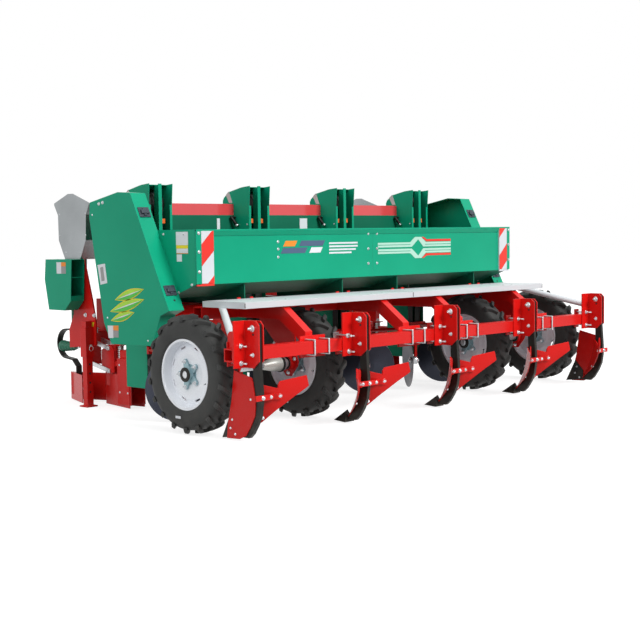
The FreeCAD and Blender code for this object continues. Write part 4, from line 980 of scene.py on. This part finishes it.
# clamps that hold the spring tines to the front toolbar, and their bolts in the openers
tineLook = dict(
    centres=(-1.35, -0.52, 0.52, 1.35), bar=0.1, half=0.05, plate=0.008, gap=0.01, topReach=0.012,
    footReach=0.018, boltAcross=(-0.038, 0.038), boltOut=0.009, boltSize=0.01, shank=0.006, shankUnder=0.02,
    shankOver=0.024, tailRear=1.125, tailHeights=(0.09, 0.15), tailBolt=(0.009, 0.008))


def makeTineClamps(look=tineLook):
    plates, bolts = Maker(), Maker()
    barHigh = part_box("front_toolbar")[1]
    rear, front = barHigh.y - look["bar"], barHigh.y
    foot, top = barHigh.z - look["bar"], barHigh.z + look["gap"]
    half, thick, size = look["half"], look["plate"], look["boltSize"]
    for x in look["centres"]:
        for reach, z in ((look["topReach"], top), (look["footReach"], foot - thick)):
            plates.box((x - half, rear - reach, z), (x + half, front + reach, z + thick))
        for across in look["boltAcross"]:
            for y in (rear - look["boltOut"], front + look["boltOut"]):
                bolts.rod((x + across, y, foot - look["shankUnder"]),
                          (x + across, y, barHigh.z + look["shankOver"]), look["shank"])
                boltOn(bolts, (x + across, y, top + thick), (0, 0, 1), size)
                boltOn(bolts, (x + across, y, foot - thick), (0, 0, -1), size)
        for z in look["tailHeights"]:
            boltOn(bolts, (x, look["tailRear"], z), (0, -1, 0), *look["tailBolt"])
    plates.finish("tine_clamps", "redPaint", bevel=0.0015)
    bolts.finish("tine_bolts")


# grips and rivets of the fertilizer hopper: a grip runs through (across, up) from its middle on the lid
lidLook = dict(
    gripPlaces=(0.25, 0.75), gripY=1.15, gripFoot=1.4215, gripHalf=0.06, gripSize=0.005,
    grip=[(-0.06, 0), (-0.06, 0.006), (-0.052, 0.011), (0.052, 0.011), (0.06, 0.006), (0.06, 0)], footZ=1.418,
    foot=[(0, 0.013), (0.004, 0.012), (0.004, 0.007)],
    rivets=([(0.815, 1.35), (0.815, 1.2), (0.885, 1.08), (1.06, 1.08), (1.13, 1.2), (1.13, 1.35)], 0.005))


def makeLidTrim(look=lidLook):
    rivets = Maker()
    y = look["gripY"]
    for side, name in sides:
        grips, screws = Maker(), Maker()
        low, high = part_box("fertilizer_lid_" + name)
        for share in look["gripPlaces"]:
            x = low.x + (high.x - low.x) * share
            path = [Vector((x + across, y, look["gripFoot"] + up)) for across, up in look["grip"]]
            grips.tube(path, look["gripSize"], 10, (0, 1, 0))
            for foot in (-look["gripHalf"], look["gripHalf"]):
                screws.lathe((x + foot, y, look["footZ"]), (0, 0, 1), look["foot"], 20)
        grips.finish("lid_grips_" + name, "latchRubber", "lid_" + name)
        screws.finish("lid_grip_feet_" + name, body="lid_" + name)
        domesOn(rivets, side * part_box("fertilizer_hopper")[1].x, side, *look["rivets"])
    rivets.finish("hopper_rivets")


makeStands()
makeBearings()
makeDiscHubs()
makeTineClamps()
makeLidTrim()
print("planter: stands, bearings, discs, tines and lids finished")


cameraLook = dict(lens=70.08, place=(-6.583, -6.392, 1.182), turn=45.746, down=3.926, roll=0.761)
camera = newObject("camera", bpy.data.cameras.new("camera"))
camera.data.sensor_width = 36
camera.data.lens = cameraLook["lens"]
camera.data.clip_end = 100
place = Matrix.Translation(cameraLook["place"])
for turn, axis in ((-cameraLook["turn"], "Z"), (90 - cameraLook["down"], "X"), (-cameraLook["roll"], "Z")):
    place @= Matrix.Rotation(math.radians(turn), 4, axis)
camera.matrix_world = place
bpy.context.scene.camera = camera

lightLook = dict(
    key=2.7, keyFrom=(0.1, -0.85, 0.6), keyAngle=0.35, side=0.75, sideFrom=(-1.0, 0.15, 0.45), sideAngle=0.8,
    overhead=1.0, horizon=0.2, backdrop=0.6, ahead=(0.7, 0.7, 0), floor=0.32, floorGlow=0.8, floorHalf=40)


def lamp(name, look=lightLook):
    data = bpy.data.lights.new(name + "Light", "SUN")
    data.energy = look[name]
    data.angle = look[name + "Angle"]
    light = newObject(name + "Light", data)
    light.rotation_euler = Vector(look[name + "From"]).to_track_quat("Z", "Y").to_euler()


# rays that see the white surroundings: straight to the camera, off gloss and through glass
def seenRays(tree):
    path = addNode(tree, "LightPath").outputs
    direct = mathOf(tree, "MAXIMUM", path["Is Camera Ray"], path["Is Transmission Ray"])
    return mathOf(tree, "MAXIMUM", direct, path["Is Glossy Ray"])


# bright overhead and ahead of the machine, dim behind it; white where the camera looks straight at it
def makeWorld(look=lightLook):
    world = bpy.data.worlds.new("studio")
    bpy.context.scene.world = world
    world.use_nodes = True
    tree = world.node_tree
    way = addNode(tree, "TexCoord").outputs["Generated"]
    parts = addNode(tree, "SeparateXYZ", {0: way})
    overhead = rangeOf(tree, parts.outputs["Z"], 0.15, 0.9, look["horizon"], look["overhead"])
    ahead = addNode(tree, "VectorMath", {"operation": "DOT_PRODUCT", 0: way, 1: look["ahead"]})
    backdrop = rangeOf(tree, ahead.outputs["Value"], 0.2, 0.8, 0, look["backdrop"])
    level = mathOf(tree, "MAXIMUM", overhead, backdrop)
    strength = mathOf(tree, "MAXIMUM", level, seenRays(tree))
    setNode(tree, tree.nodes["Background"], {"Color": (1, 1, 1, 1), "Strength": strength})


def makeFloor(look=lightLook):
    mesh = bpy.data.meshes.new("floor")
    half, level = look["floorHalf"], look["floor"]
    mesh.from_pydata([(x, y, 0) for x, y in block(-half, half, -half, half)], [], [(0, 1, 2, 3)])
    floor = newObject("floor", mesh)
    material, tree, shader = newMaterial("floorPaint")
    glow = rangeOf(tree, seenRays(tree), 0, 1, 0, look["floorGlow"])
    setNode(tree, shader, {"Base Color": (level, level, level, 1), "Roughness": 0.9, "Specular IOR Level": 0.2,
                           "Emission Color": (1, 1, 1, 1), "Emission Strength": glow})
    mesh.materials.append(material)


lamp("key")
lamp("side")
makeWorld()
makeFloor()
bpy.context.scene.view_settings.view_transform = "Standard"
print("planter: camera, lamps and floor set")
